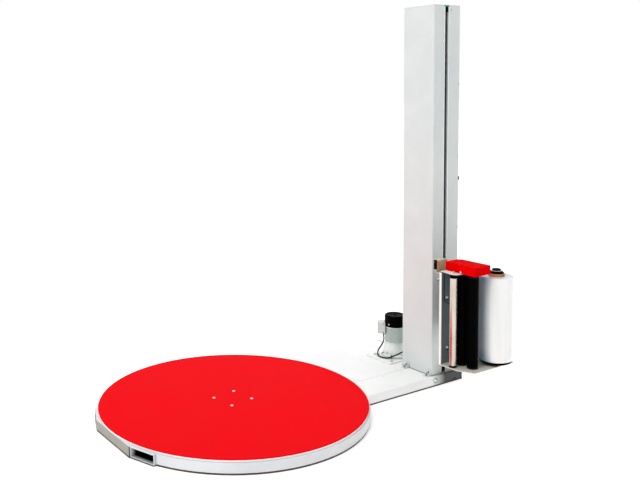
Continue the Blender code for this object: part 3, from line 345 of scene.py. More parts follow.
STOP_RED = finish("button_red", (196, 18, 16), (214, 24, 20), (0.22, 0.32), 900.0, coat=0.4)
START_GREEN = finish("button_green", (16, 132, 62), (24, 150, 74), (0.24, 0.34), 900.0, coat=0.4)
LEGEND_YELLOW = finish("legend_yellow", (232, 190, 24), (242, 202, 36), (0.40, 0.52), 900.0)
GLASS_DARK = finish("display_glass", (14, 20, 18), (22, 30, 27), (0.06, 0.12), 900.0, 0.02, coat=0.8)
LAMP_GREEN = finish(
    "pilot_lamp_green", (40, 190, 90), (70, 220, 120), (0.18, 0.28), 900.0, 0.05,
    coat=0.6, glow=0.25,
)
LAMP_WHITE = finish(
    "pilot_lamp_clear", (226, 226, 214), (238, 238, 228), (0.16, 0.26), 900.0, 0.05,
    coat=0.6,
)
TEAL = finish("teal_plastic", (20, 150, 128), (34, 172, 146), (0.34, 0.46), 900.0, 0.12)
LENS_RED = finish("sensor_lens", (110, 12, 14), (140, 18, 20), (0.08, 0.14), 900.0, 0.02, coat=0.8)

NODE_FINISHES = {
    WHITE: ("mast_top_cap", "cabinet_door", "control_box"),
    MAST_WHITE: ("mast_column",),
    RING_WHITE: ("base_ring", "foot_bracket_near", "foot_bracket_far"),
    DECK_LIT_WHITE: ("deck_panel_near", "deck_panel_far", "motor_mount_plate"),
    END_WHITE: ("platform_frame",),
    TOP_PLATE: ("carriage_top_plate",),
    BOTTOM_PLATE: ("carriage_bottom_plate",),
    POCKET_NEAR: ("fork_tube_near",),
    POCKET_FAR: ("fork_tube_far",),
    RED: ("turntable_plate",),
    COVER_RED: ("gear_cover",),
    PRIMER: ("base_plate",),
    MOTOR_GREY: ("motor_stator", "lift_gearmotor"),
    CASTING: ("gearbox_housing",),
    WEB_SHADE_GREY: ("carriage_back_plate",),
    # The brake disc is black, and its black also stands in for the shade under the film roll.
    BLACK: (
        "fan_cover", "motor_fan", "cable_gland", "main_switch", "reset_button", "speed_knob",
        "guide_wheel_lower", "guide_wheel_upper", "photocell", "mandrel_knob", "brake_disc",
    ),
    CABLE_BLACK: ("motor_cable",),
    BELT: ("lift_belt",),
    ROLLER_RUBBER: ("prestretch_roller_rear", "prestretch_roller_front"),
    TYRE: tuple("support_wheel_" + str(number) for number in range(1, 7)),
    FILM: ("film_roll",),
    BOARD: ("film_core",),
    ZINC: ("photocell_bracket",),
    STEEL: (
        "centre_spindle", "turntable_sprocket", "drive_sprocket", "lift_drive_pulley",
        "lift_idler_pulley", "prestretch_gear_rear", "prestretch_gear_front", "film_mandrel",
    ),
    ROLLED_STEEL: ("drive_chain", "lift_trolley"),
    ALUMINIUM: ("idle_roller",),
    BOX_GREY: ("terminal_box",),
    STOP_RED: ("emergency_stop",),
    START_GREEN: ("start_button",),
}


def paint_nodes():
    """Gives every CAD node its finish."""
    for material, names in NODE_FINISHES.items():
        for name in names:
            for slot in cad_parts[name].material_slots:
                slot.material = material


paint_nodes()

# ---------------------------------------------------------------- shapes


def turned(profile, steps=24, closed=False):
    """A profile of (radius, height) points turned round the Z axis."""
    shape = bmesh.new()
    rings = []
    for radius, height in profile:
        if radius < 1e-6:
            rings.append([shape.verts.new((0.0, 0.0, height))])
            continue
        ring = []
        for step in range(steps):
            turn = 2.0 * math.pi * step / steps
            ring.append(shape.verts.new((radius * math.cos(turn), radius * math.sin(turn), height)))
        rings.append(ring)
    pairs = list(zip(rings, rings[1:]))
    if closed:
        pairs.append((rings[-1], rings[0]))
    for first, second in pairs:
        for step in range(steps):
            after = (step + 1) % steps
            corners = [first[step % len(first)], first[after % len(first)]]
            corners += [second[after % len(second)], second[step % len(second)]]
            corners = list(dict.fromkeys(corners))
            if len(corners) > 2:
                shape.faces.new(corners)
    return shape


def pushed(outline, low, high):
    """A closed outline of (x, y) points pushed along Z."""
    shape = bmesh.new()
    bottom = [shape.verts.new((x, y, low)) for x, y in outline]
    top = [shape.verts.new((x, y, high)) for x, y in outline]
    shape.faces.new(bottom[::-1])
    shape.faces.new(top)
    for index in range(len(outline)):
        after = (index + 1) % len(outline)
        shape.faces.new((bottom[index], bottom[after], top[after], top[index]))
    return shape


def block(low, high, edge=0.0008, segments=2):
    """A box with rounded edges between two corners."""
    low, high = Vector(low), Vector(high)
    shape = bmesh.new()
    bmesh.ops.create_cube(shape, size=1.0)
    bmesh.ops.scale(shape, vec=high - low, verts=shape.verts)
    bmesh.ops.translate(shape, vec=(low + high) / 2.0, verts=shape.verts)
    bmesh.ops.bevel(
        shape, geom=list(shape.edges), offset=edge, segments=segments, profile=0.5, affect="EDGES",
    )
    return shape


def moved(shape, place, facing=UP, spin=0.0):
    """The shape with its Z axis turned to face a direction, then moved to a place."""
    turn = Vector(UP).rotation_difference(Vector(facing).normalized()).to_matrix().to_4x4()
    shape.transform(Matrix.Translation(place) @ turn @ Matrix.Rotation(spin, 4, "Z"))
    return shape


def together(shapes):
    """Several shapes as one."""
    whole = bmesh.new()
    for shape in shapes:
        mesh = bpy.data.meshes.new("part")
        shape.to_mesh(mesh)
        shape.free()
        whole.from_mesh(mesh)
        bpy.data.meshes.remove(mesh)
    return whole


def swept(points, radius, sides=10):
    """A round tube along a line of points, with closed ends."""
    points = [Vector(point) for point in points]
    shape = bmesh.new()
    rings = []
    across = None
    for index, point in enumerate(points):
        before = points[max(0, index - 1)]
        after = points[min(len(points) - 1, index + 1)]
        ahead = (after - before).normalized()
        across = ahead.orthogonal() if across is None else across - ahead * across.dot(ahead)
        across.normalize()
        upward = ahead.cross(across)
        ring = []
        for side in range(sides):
            turn = 2.0 * math.pi * side / sides
            offset = across * math.cos(turn) + upward * math.sin(turn)
            ring.append(shape.verts.new(point + offset * radius))
        rings.append(ring)
    for first, second in zip(rings, rings[1:]):
        for side in range(sides):
            after = (side + 1) % sides
            shape.faces.new((first[side], first[after], second[after], second[side]))
    shape.faces.new(rings[0][::-1])
    shape.faces.new(rings[-1])
    return shape


def curved(points, count):
    """A smooth line of evenly counted points through the given ones."""
    points = [Vector(point) for point in points]
    padded = [points[0]] + points + [points[-1]]
    line = []
    for index in range(len(points) - 1):
        before, start, end, after = padded[index:index + 4]
        for step in range(count):
            part = step / count
            line.append(0.5 * (
                2.0 * start + (end - before) * part
                + (2.0 * before - 5.0 * start + 4.0 * end - after) * part ** 2
                + (3.0 * start - before - 3.0 * end + after) * part ** 3
            ))
    line.append(points[-1])
    return line


def circle_spots(centre, radius, count, start=0.0):
    """Places evenly round a circle, with their angles."""
    spots = []
    for index in range(count):
        turn = start + 2.0 * math.pi * index / count
        spots.append((centre[0] + radius * math.cos(turn), centre[1] + radius * math.sin(turn), turn))
    return spots


def add(name, shape, material, body="machine", sharp=35.0):
    """Makes a piece from a shape, shaded smooth, riding on a body."""
    bmesh.ops.recalc_face_normals(shape, faces=shape.faces)
    mesh = bpy.data.meshes.new(name)
    shape.to_mesh(mesh)
    shape.free()
    mesh.shade_smooth()
    mesh.set_sharp_from_angle(angle=math.radians(sharp))
    mesh.materials.append(material)
    piece = bpy.data.objects.new(name, mesh)
    bpy.context.collection.objects.link(piece)
    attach(piece, body)
    return piece


def hexagon(across_flats, height):
    """A hexagon head or nut with chamfered corners."""
    corner = across_flats / math.sqrt(3.0)
    return turned([
        (0.0, 0.0), (corner, 0.0), (corner, height * 0.86), (corner * 0.86, height), (0.0, height),
    ], 6)


def washer(radius, thickness):
    """A flat washer with a softened edge."""
    soft = thickness * 0.3
    return turned([
        (0.0, 0.0), (radius, 0.0), (radius, thickness - soft), (radius - soft, thickness),
        (0.0, thickness),
    ], 24)


def hex_bolt(size, stud=0.0):
    """A washer and a hexagon head, or a nut with a stud through it; size is the thread's diameter."""
    parts = [washer(size * 1.10, size * 0.18)]
    parts.append(moved(hexagon(size * 1.65, size * 0.62), (0.0, 0.0, size * 0.17)))
    if stud > 0.0:
        top = size * 0.75 + stud
        tip = [(0.0, 0.0), (size * 0.5, 0.0), (size * 0.5, top - size * 0.1), (size * 0.4, top), (0.0, top)]
        parts.append(turned(tip, 16))
    return together(parts)


def socket_bolt(radius, height):
    """A domed head with a round socket."""
    dome = turned([
        (radius * 0.42, height * 0.35), (radius * 0.42, height), (radius * 0.60, height * 0.98),
        (radius * 0.86, height * 0.70), (radius, height * 0.22), (radius, 0.0), (0.0, 0.0),
        (0.0, height * 0.35),
    ], 24)
    floor = turned([(0.0, height * 0.35), (radius * 0.42, height * 0.35)], 24)
    return together([dome, floor])


def cross_screw(radius, height):
    """A small pan head with a raised rim."""
    return turned([
        (0.0, height * 0.55), (radius * 0.30, height * 0.60), (radius * 0.42, height),
        (radius * 0.75, height * 0.88), (radius, height * 0.35), (radius, 0.0), (0.0, 0.0),
    ], 20)


def scattered(maker, spots, facing, first_spin=0.2):
    """Copies of a shape at several places, each with its own spin."""
    shapes = []
    for index, spot in enumerate(spots):
        shapes.append(moved(maker(), spot[:3], facing, first_spin + 0.9 * index))
    return together(shapes)


# ---------------------------------------------------------------- turntable and platform

LIFT_OFF = 0.0002                        # how far a fitting stands off its face

HUB_BOLT_CIRCLE = 0.106
HUB_BOLT_START = 0.937                   # radians from +X
TABLE_EDGE_LOW = 0.0606

SIDE_BOLT_X, SIDE_BOLT_Z = 1.213, 0.039
SIDE_SHADOW_THICKNESS = 0.0018
DECK_SCREW_X = (0.80, 0.96, 1.12)
DECK_SCREWS_OFF_SEAM = (-0.022, 0.024)


def build_turntable_details():
    """Four domed bolts in the plate's middle, and a pale band under the plate's edge that fills the gap over
    the ring as a painted highlight.
    """
    plate_low, plate_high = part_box("turntable_plate")
    top = plate_high.z + LIFT_OFF
    spots = [(x, y, top) for x, y, _ in circle_spots((0.0, 0.0), HUB_BOLT_CIRCLE, 4, HUB_BOLT_START)]
    bolts = scattered(lambda: socket_bolt(0.0085, 0.0042), spots, UP)
    add("hub_bolts", bolts, HIGHLIGHT_BOLT, "turntable")
    outer = (plate_high.x - plate_low.x) / 2.0 - 0.0006
    low, high = TABLE_EDGE_LOW, plate_low.z - LIFT_OFF
    band = turned([
        (outer - 0.0018, low), (outer - 0.0003, low), (outer, low + 0.0005), (outer, high),
        (outer - 0.0018, high),
    ], 192, closed=True)
    add("turntable_edge_painted_highlight", band, EDGE_HIGHLIGHT_WHITE, "turntable")


def build_platform_details():
    """A bolt at each side of the platform, with a black disc below and right of it as its painted shadow, and
    the screws along the deck's seam.
    """
    near_low, near_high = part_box("deck_panel_near")
    far_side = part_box("deck_panel_far")[1].y
    for name, y, way in (("near", near_low.y - LIFT_OFF, FRONT), ("far", far_side + LIFT_OFF, BACK)):
        shadow_disc = moved(washer(0.0145, SIDE_SHADOW_THICKNESS), (SIDE_BOLT_X + 0.005, y, SIDE_BOLT_Z - 0.002), way)
        add("side_bolt_painted_shadow_" + name, shadow_disc, BLACK, "machine")
        bolt = moved(hex_bolt(0.0095), (SIDE_BOLT_X, y + way[1] * SIDE_SHADOW_THICKNESS, SIDE_BOLT_Z), way, 0.4)
        add("side_bolt_" + name, bolt, HIGHLIGHT_BOLT)

    spots = []
    for x in DECK_SCREW_X:
        for offset in DECK_SCREWS_OFF_SEAM:
            spots.append((x, near_high.y + offset, near_high.z + LIFT_OFF / 4.0))
    screws = scattered(lambda: cross_screw(0.0042, 0.0011), spots, UP)
    add("deck_screws", screws, WHITE)


# ---------------------------------------------------------------- mast

SLOT_LEFT, SLOT_RIGHT = 1.292, 1.322
SLOT_LIP = 0.0055                        # width of the bright edge beside the slot
SLOT_LIP_LOW = 0.250
BUMPER_LOW = 0.075
MAST_SCREW_X = 1.4155
MAST_SCREW_Z = (1.812, 1.382, 0.95)
MAST_BOLT_X, MAST_BOLT_Z = 1.255, 0.650
FOOT_SHEET = 0.0050


def build_slot_details():
    """Edges of the mast's slot, brighter than the mast as a painted highlight, its rubber bumpers and the
    guard over its belt.
    """
    low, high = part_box("mast_column")
    front = low.y
    top = high.z - 0.002
    trims = []
    for edge, side in ((SLOT_LEFT, -1.0), (SLOT_RIGHT, 1.0)):
        left, right = sorted((edge, edge + side * SLOT_LIP))
        trims.append(block((left, front - 0.0025, SLOT_LIP_LOW), (right, front + 0.0004, top), 0.0006))
    add("slot_edges", together(trims), EDGE_HIGHLIGHT_WHITE, "machine")

    for name, bottom, end in (("top", top - 0.034, top), ("bottom", BUMPER_LOW, BUMPER_LOW + 0.030)):
        bumper = block(
            (SLOT_LEFT + 0.004, front - 0.0010, bottom), (SLOT_RIGHT - 0.004, front + 0.012, end), 0.001,
        )
        add("slot_" + name + "_bumper", bumper, BLACK, "machine")

    cap_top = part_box("mast_top_cap")[1].z
    low_corner = (SLOT_LEFT - 0.006, front - 0.0030, top - 0.002)
    guard = block(low_corner, (SLOT_RIGHT + 0.004, front - 0.0005, cap_top), 0.0008)
    add("belt_guard", guard, TEAL, "machine")


def build_mast_fasteners():
    """Screws and a bolt on the mast's front, with a black disc below and right of the bolt as its painted
    shadow.
    """
    low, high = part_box("mast_column")
    face = low.y - LIFT_OFF
    screws = [(1.345, face, high.z - 0.024)] + [(MAST_SCREW_X, face, z) for z in MAST_SCREW_Z]
    heads = scattered(lambda: cross_screw(0.0036, 0.0018), screws, FRONT)
    add("mast_front_screws", heads, ROLLED_STEEL)
    bolt = scattered(lambda: hex_bolt(0.0080), [(MAST_BOLT_X, face, MAST_BOLT_Z)], FRONT)
    add("mast_front_bolt", bolt, HIGHLIGHT_BOLT)
    place = (MAST_BOLT_X + 0.0025, low.y - LIFT_OFF / 2.0, MAST_BOLT_Z - 0.0015)
    shadow_disc = moved(washer(0.0105, 0.0006), place, FRONT)
    add("mast_front_bolt_painted_shadow", shadow_disc, BLACK, "machine")


def build_foot_details():
    """Nuts and gussets of the two foot brackets, and the weld bead round the mast's foot."""
    nuts = []
    gussets = []
    gusset = [(0.0, 0.0), (0.018, 0.0), (0.003, 0.016), (0.0, 0.016)]
    stand_up = Matrix.Rotation(math.radians(180.0), 4, "Z") @ Matrix.Rotation(math.radians(90.0), 4, "X")
    for name in ("foot_bracket_near", "foot_bracket_far"):
        foot_low, foot_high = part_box(name)
        middle = (foot_low.y + foot_high.y) / 2.0
        on_deck = (foot_low.x + 0.014, middle, foot_low.z + FOOT_SHEET + LIFT_OFF)
        nuts.append(moved(hex_bolt(0.0060, 0.003), on_deck, UP, 0.3))
        on_mast = (foot_high.x - FOOT_SHEET - 0.0003, middle, foot_high.z - 0.012)
        nuts.append(moved(hex_bolt(0.0050), on_mast, LEFT, 0.1))
        for y in (foot_low.y + 0.0035, foot_high.y - 0.0035):
            web = pushed(gusset, -0.0012, 0.0012)
            corner = (foot_high.x - FOOT_SHEET, y, foot_low.z + FOOT_SHEET)
            web.transform(Matrix.Translation(corner) @ stand_up)
            gussets.append(web)
    add("foot_nuts", together(nuts), ROLLED_STEEL)
    add("foot_gussets", together(gussets), WHITE, "machine")

    low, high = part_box("mast_column")
    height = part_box("deck_panel_near")[1].z + 0.0012
    left, right = low.x - LIFT_OFF, high.x + LIFT_OFF
    front, back = low.y - LIFT_OFF, high.y + LIFT_OFF
    corners = [(left, front, height), (right, front, height), (right, back, height), (left, back, height)]
    beads = []
    for corner, after in zip(corners, corners[1:] + corners[:1]):
        beads.append(swept([corner, after], 0.0020, 8))
    add("mast_foot_weld", together(beads), ROLLED_STEEL, "machine")


def build_cap_bolts():
    """Four sunk bolts in the mast's top cap."""
    cap_low, cap_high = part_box("mast_top_cap")
    spots = []
    for x in (cap_low.x + 0.028, cap_high.x - 0.028):
        for y in (cap_low.y + 0.035, cap_high.y - 0.028):
            spots.append((x, y, cap_high.z - 0.0052))
    heads = scattered(lambda: socket_bolt(0.0070, 0.0050), spots, UP)
    add("cap_bolts", heads, BOLT_ZINC)


# ---------------------------------------------------------------- turntable drive

MOTOR = (1.295, 0.048)
BOX_FACING = math.radians(135.0)         # the way that the terminal box faces, from +X
MOUNT_BOLT_Y = (-0.035, 0.128)
FLANGE_THICKNESS = 0.0123
FLANGE_BOLT_CIRCLE = 0.0790
RIB_COUNT = 44
RIB_TOP, RIB_TOP_UNDER_BOX = 0.2560, 0.205
UPPER_BAND_Z = 0.2585
GRILLE_RINGS = (0.016, 0.022, 0.028, 0.034)
COVER_SCREW_Z = 0.2800
BOX_FACE_DISTANCE = 0.1022
BOX_MIDDLE_Z = 0.2475


def build_mount_bolts():
    """The bolts of the mounting plate and of the gearbox's flange."""
    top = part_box("motor_mount_plate")[1].z
    spots = []
    for x_near, x_far in ((1.186, 1.200), (1.388, 1.388)):
        for x, y in zip((x_near, x_far), MOUNT_BOLT_Y):
            spots.append((x, y, top + LIFT_OFF))
    add("mount_plate_bolts", scattered(lambda: hex_bolt(0.0090), spots, UP), BOLT_ZINC)

    circle = circle_spots(MOTOR, FLANGE_BOLT_CIRCLE, 6, math.radians(150.0))
    spots = [(x, y, top + FLANGE_THICKNESS) for x, y, _ in circle]
    add("flange_bolts", scattered(lambda: hex_bolt(0.0060), spots, UP), DARK_BOLT)


def build_stator_details():
    """Cooling ribs round the motor, shorter under the terminal box, between two bands."""
    low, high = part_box("motor_stator")
    radius = (high.x - low.x) / 2.0
    ribs = []
    for x, y, turn in circle_spots(MOTOR, radius, RIB_COUNT):
        from_box = abs((turn - BOX_FACING + math.pi) % (2.0 * math.pi) - math.pi)
        top = RIB_TOP_UNDER_BOX if from_box < math.radians(36.0) else RIB_TOP
        outline = [(-0.0010, -0.0013), (0.0007, -0.0007), (0.0007, 0.0007), (-0.0010, 0.0013)]
        rib = pushed(outline, low.z + 0.006, top)
        rib.transform(Matrix.Translation((x, y, 0.0)) @ Matrix.Rotation(turn, 4, "Z"))
        ribs.append(rib)
    add("stator_ribs", together(ribs), MOTOR_GREY, "machine")
    bands = []
    for height in (low.z + 0.003, UPPER_BAND_Z):
        bands.append(moved(turned([
            (radius - 0.001, -0.0030), (radius + 0.0012, -0.0030), (radius + 0.0016, -0.0022),
            (radius + 0.0016, 0.0022), (radius + 0.0012, 0.0030), (radius - 0.001, 0.0030),
        ], 48, closed=True), (*MOTOR, height)))
    add("stator_bands", together(bands), CASTING, "machine")


def build_fan_cover_details():
    """The grille in the fan cover's top and the screws round its side."""
    low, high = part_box("fan_cover")
    grille_z = high.z - 0.0058
    bars = []
    for reach in GRILLE_RINGS:
        bars.append(moved(turned([
            (reach - 0.0011, 0.0), (reach - 0.0011, 0.0016), (reach - 0.0006, 0.0022),
            (reach + 0.0006, 0.0022), (reach + 0.0011, 0.0016), (reach + 0.0011, 0.0),
        ], 40, closed=True), (*MOTOR, grille_z)))
    for _, _, turn in circle_spots(MOTOR, 0.0, 8):
        bar = block((0.012, -0.0012, 0.0), (0.038, 0.0012, 0.0018), 0.0004)
        bar.transform(Matrix.Translation((*MOTOR, grille_z)) @ Matrix.Rotation(turn, 4, "Z"))
        bars.append(bar)
    add("fan_grille", together(bars), SATIN_BLACK, "machine")

    radius = (high.x - low.x) / 2.0 + LIFT_OFF
    heads = []
    for x, y, turn in circle_spots(MOTOR, radius, 4, math.radians(-170.3)):
        outward = (math.cos(turn), math.sin(turn), 0.0)
        heads.append(moved(socket_bolt(0.0052, 0.0030), (x, y, COVER_SCREW_Z), outward))
    add("fan_cover_screws", together(heads), BOLT_ZINC)


def build_terminal_box_details():
    """The terminal box's lid, its screws and the nut of its cable gland."""
    out = Vector((math.cos(BOX_FACING), math.sin(BOX_FACING), 0.0))
    side = Vector((-out.y, out.x, 0.0))
    axis = Vector((*MOTOR, 0.0))
    face = axis + out * BOX_FACE_DISTANCE
    lid = block((-0.034, -0.0352, 0.0), (0.034, 0.0352, 0.0055), 0.0022, 3)
    turn = Matrix((side, Vector(UP), out)).transposed().to_4x4()
    lid.transform(Matrix.Translation(face + Vector((0.0, 0.0, BOX_MIDDLE_Z))) @ turn)
    add("terminal_box_lid", lid, BOX_GREY, "machine")
    heads = []
    for across in (-0.027, 0.027):
        for up in (-0.027, 0.027):
            spot = face + out * 0.0054 + side * across + Vector((0.0, 0.0, BOX_MIDDLE_Z + up))
            heads.append(moved(cross_screw(0.0032, 0.0016), spot, out))
    for height, reach in ((0.2215, 0.0730), (0.2770, 0.0700)):
        spot = axis + out * reach + side * 0.0342 + Vector((0.0, 0.0, height))
        heads.append(moved(cross_screw(0.0034, 0.0018), spot, side))
    add("terminal_box_screws", together(heads), DARK_BOLT)

    gland_low, gland_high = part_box("cable_gland")
    middle = (gland_low + gland_high) / 2.0
    nut = moved(turned([
        (0.0062, 0.0), (0.0096, 0.0), (0.0096, 0.0046), (0.0086, 0.0054), (0.0062, 0.0054),
    ], 6, closed=True), (middle.x, middle.y, gland_high.z - 0.0062))
    add("gland_nut", nut, BLACK, "machine")


def build_cable_ties():
    """Two ties with loose ends round the motor's cable, and the gearbox's oil plug."""
    ties = []
    for place, facing, tail in (
        ((1.1960, 0.0995, 0.0733), (0.66, 0.74, 0.0), (0.020, 0.006, 0.004)),
        ((1.2030, 0.0062, 0.0752), (0.62, -0.78, 0.2), (0.010, -0.014, -0.004)),
    ):
        ties.append(moved(turned([
            (0.0045, -0.0014), (0.0057, -0.0014), (0.0057, 0.0014), (0.0045, 0.0014),
        ], 16, closed=True), place, facing))
        start = Vector(place) + Vector((0.0, 0.0, -0.001))
        ties.append(swept([start, start + Vector(tail) * 0.5, start + Vector(tail)], 0.0014, 6))
    add("cable_ties", together(ties), CABLE_BLACK, "machine")

    place = (MOTOR[0] - 0.0715, MOTOR[1] - 0.004, 0.096)
    plug = moved(hexagon(0.012, 0.004), place, (-1.0, -0.05, 0.1))
    add("oil_plug", plug, BOLT_ZINC)


# ---------------------------------------------------------------- controls

DISPLAY_LEFT, DISPLAY_RIGHT = -0.282, -0.148      # along Y, seen from +X
KEY_START, KEY_STEP = -0.264, 0.0326
LAMP_Z = 1.585
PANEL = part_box("control_box")[1].x + LIFT_OFF     # the control box's face
KNOB_TURN = 270.0                                 # degrees from the first tick to the last
TICK_COUNT = 11
HINGE_AXIS_X = 1.4256
HINGE_Z = (0.86, 1.13, 1.40)
LOUVRE_COUNT, LOUVRE_START, LOUVRE_STEP = 9, 0.825, 0.016
LOUVRE_MIDDLE_Y = -0.2275
LOCK_PLACE = (-0.318, 1.060)


def middle_of(node):
    """The middle of a node's box along Y and Z."""
    low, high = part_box(node)
    return (low.y + high.y) / 2.0, (low.z + high.z) / 2.0


def build_display():
    """The display with its frame, glass and keys."""
    edge = block((PANEL, DISPLAY_LEFT, 1.715), (PANEL + 0.0030, DISPLAY_RIGHT, 1.800), 0.0010)
    add("display_frame", edge, SATIN_BLACK, "machine")
    glass = block(
        (PANEL + 0.0026, DISPLAY_LEFT + 0.010, 1.738), (PANEL + 0.0040, DISPLAY_RIGHT - 0.010, 1.790), 0.0005,
    )
    add("display_glass", glass, GLASS_DARK, "machine")
    keys = []
    for index in range(4):
        y = KEY_START + KEY_STEP * index
        keys.append(block((PANEL + 0.0026, y - 0.011, 1.7205), (PANEL + 0.0046, y + 0.011, 1.7305), 0.0008))
    add("display_keys", together(keys), BOX_GREY, "machine")


def build_button_rings():
    """Bezels round the buttons and the knob, the yellow ring of the emergency stop, and two pilot lamps."""
    rings = []
    for name, reach in (("start_button", 0.0155), ("reset_button", 0.0155), ("speed_knob", 0.0165)):
        inner = reach * 0.80
        rings.append(moved(turned([
            (inner, 0.0), (reach, 0.0), (reach, 0.0014), (reach * 0.94, 0.0020), (inner, 0.0020),
        ], 28, closed=True), (PANEL, *middle_of(name)), RIGHT))
    add("button_bezels", together(rings), STEEL)
    legend = moved(turned([
        (0.0145, 0.0), (0.0300, 0.0), (0.0300, 0.0012), (0.0294, 0.0016), (0.0145, 0.0016),
    ], 40, closed=True), (PANEL, *middle_of("emergency_stop")), RIGHT)
    add("stop_legend", legend, LEGEND_YELLOW, "machine")

    for name, y, material in (("run_lamp", -0.275, LAMP_GREEN), ("power_lamp", -0.240, LAMP_WHITE)):
        lamp = moved(turned([
            (0.0, 0.0), (0.0078, 0.0), (0.0078, 0.0016), (0.0060, 0.0020), (0.0058, 0.0050),
            (0.0040, 0.0066), (0.0, 0.0072),
        ], 20), (PANEL, y, LAMP_Z), RIGHT)
        add(name, lamp, material, "machine")


def build_knob_scale():
    """The speed knob's pointer and the ticks round it."""
    y, z = middle_of("speed_knob")
    pointer = block((0.0, -0.0010, -0.0015), (0.0012, 0.0010, 0.0115), 0.0003)
    pointer.transform(Matrix.Translation((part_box("speed_knob")[1].x - 0.0004, y, z)))
    add("knob_pointer", pointer, LAMP_WHITE, "speed_knob")
    ticks = []
    for step in range(TICK_COUNT):
        turn = math.radians(KNOB_TURN * (step / (TICK_COUNT - 1) - 0.5))
        tick = block((0.0, -0.0006, 0.0185), (0.0007, 0.0006, 0.0225), 0.0002, 1)
        tick.transform(Matrix.Translation((PANEL, y, z)) @ Matrix.Rotation(turn, 4, "X"))
        ticks.append(tick)
    add("knob_ticks", together(ticks), BLACK, "machine")


def build_control_box_screws():
    """A screw in each corner of the control box."""
    low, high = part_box("control_box")
    corners = []
    for y in (low.y + 0.008, high.y - 0.008):
        for z in (low.z + 0.008, high.z - 0.008):
            corners.append((PANEL, y, z))
    heads = scattered(lambda: cross_screw(0.0034, 0.0016), corners, RIGHT)
    add("control_box_screws", heads, BOLT_ZINC)


def build_door_hinges():
    """Hinge barrels on the door's axis, with a leaf on the door and one on the mast."""
    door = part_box("cabinet_door")[1]
    mast_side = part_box("mast_column")[1].x
    barrels = []
    leaves = []
    fixed_leaves = []
    for z in HINGE_Z:
        barrels.append(moved(turned([
            (0.0, -0.020), (0.0014, -0.020), (0.0017, -0.0195), (0.0017, 0.0195), (0.0014, 0.020),
            (0.0, 0.020),
        ], 16), (HINGE_AXIS_X, door.y, z)))
        low, high = z - 0.019, z + 0.019
        leaves.append(block(
            (door.x + 0.0001, door.y - 0.018, low), (door.x + 0.0014, door.y - 0.0060, high), 0.0004,
        ))
        fixed_leaves.append(block(
            (mast_side + LIFT_OFF, door.y + 0.0022, low), (mast_side + 0.0014, door.y + 0.0120, high), 0.0004,
        ))
    add("hinge_barrels", together(barrels), STEEL, "cabinet_door")
    add("hinge_leaves", together(leaves), STEEL, "cabinet_door")
    add("hinge_fixed_leaves", together(fixed_leaves), STEEL)


def build_door_details():
    """Louvres and the lock of the cabinet door, and the grip of the main switch."""
    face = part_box("cabinet_door")[1].x
    louvres = []
    for index in range(LOUVRE_COUNT):
        z = LOUVRE_START + LOUVRE_STEP * index
        slat = pushed([(0.0, 0.0), (0.0042, 0.0010), (0.0048, 0.0026), (0.0, 0.0085)], -0.055, 0.055)
        slat.transform(Matrix((
            (1.0, 0.0, 0.0, face), (0.0, 0.0, 1.0, LOUVRE_MIDDLE_Y), (0.0, 1.0, 0.0, z), (0.0, 0.0, 0.0, 1.0),
        )))
        louvres.append(slat)
    add("door_louvres", together(louvres), WHITE, "cabinet_door")

    y, z = LOCK_PLACE
    barrel = moved(turned([
        (0.0, 0.0), (0.0130, 0.0), (0.0130, 0.0030), (0.0110, 0.0046), (0.0070, 0.0046),
        (0.0070, 0.0030), (0.0, 0.0030),
    ], 28), (face, y, z), RIGHT)
    slot = block((face + 0.003, y - 0.0015, z - 0.0045), (face + 0.0052, y + 0.0015, z + 0.0045), 0.0004)
    add("door_lock", together([barrel, slot]), BLACK, "cabinet_door")

    grip = block((0.0, -0.0045, -0.0175), (0.0042, 0.0045, 0.0175), 0.0015, 3)
    grip.transform(Matrix.Translation((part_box("main_switch")[1].x - 0.0040, *middle_of("main_switch"))))
    add("main_switch_grip", grip, STOP_RED, "main_switch")


# ---------------------------------------------------------------- film carriage

WEB_THICKNESS = 0.004
WEB_BOLTS = ((1.075, 0.613), (1.080, 0.324), (1.290, 0.613), (1.290, 0.400))
WEB_SHADOW_THICKNESS = 0.0006
LEAD_ROUTE = (                           # x and z on the back plate, down from the photocell
    (1.050, 0.757), (1.0515, 0.735), (1.0520, 0.690), (1.0520, 0.630), (1.0560, 0.600),
    (1.0700, 0.586), (1.0900, 0.575), (1.1150, 0.569), (1.1400, 0.567),
)
RUBBER_ENDS = ((0.2405, 0.2485), (0.7480, 0.7560))
IDLE_SLEEVE = (0.2488, 0.7422)           # the idle roller's tube, between its black ends
BOTTOM_BOLTS = ((1.1120, -0.6060), (1.0690, -0.7700), (1.2300, -0.5980), (1.3700, -0.6100))
COVER_SCREW_Y = -0.682


def build_web_details():
    """Bolts of the carriage's back plate, black discs below and right of two of them as their painted
    shadows, and the photocell's lead along it.
    """
    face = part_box("carriage_back_plate")[1].y - WEB_THICKNESS
    shadow_discs = []
    for x, z in WEB_BOLTS[:2]:
        place = (x + 0.0045, face - LIFT_OFF, z - 0.003)
        shadow_discs.append(moved(washer(0.0140, WEB_SHADOW_THICKNESS), place, FRONT))
    add("web_bolt_painted_shadows", together(shadow_discs), BLACK, "carriage")
    spots = [(x, face - LIFT_OFF - WEB_SHADOW_THICKNESS, z) for x, z in WEB_BOLTS]
    add("web_bolts", scattered(lambda: hex_bolt(0.0085), spots, FRONT), HIGHLIGHT_BOLT, "carriage")
    nuts = []
    for x, z in WEB_BOLTS[:2]:
        nuts.append(moved(hex_bolt(0.0085, 0.003), (x, face + WEB_THICKNESS + LIFT_OFF, z), BACK))
    add("web_nuts", together(nuts), BOLT_ZINC, "carriage")

    lead = curved([(x, face - 0.0022, z) for x, z in LEAD_ROUTE], 5)
    add("photocell_lead", swept(lead, 0.0020, 8), CABLE_BLACK, "carriage")


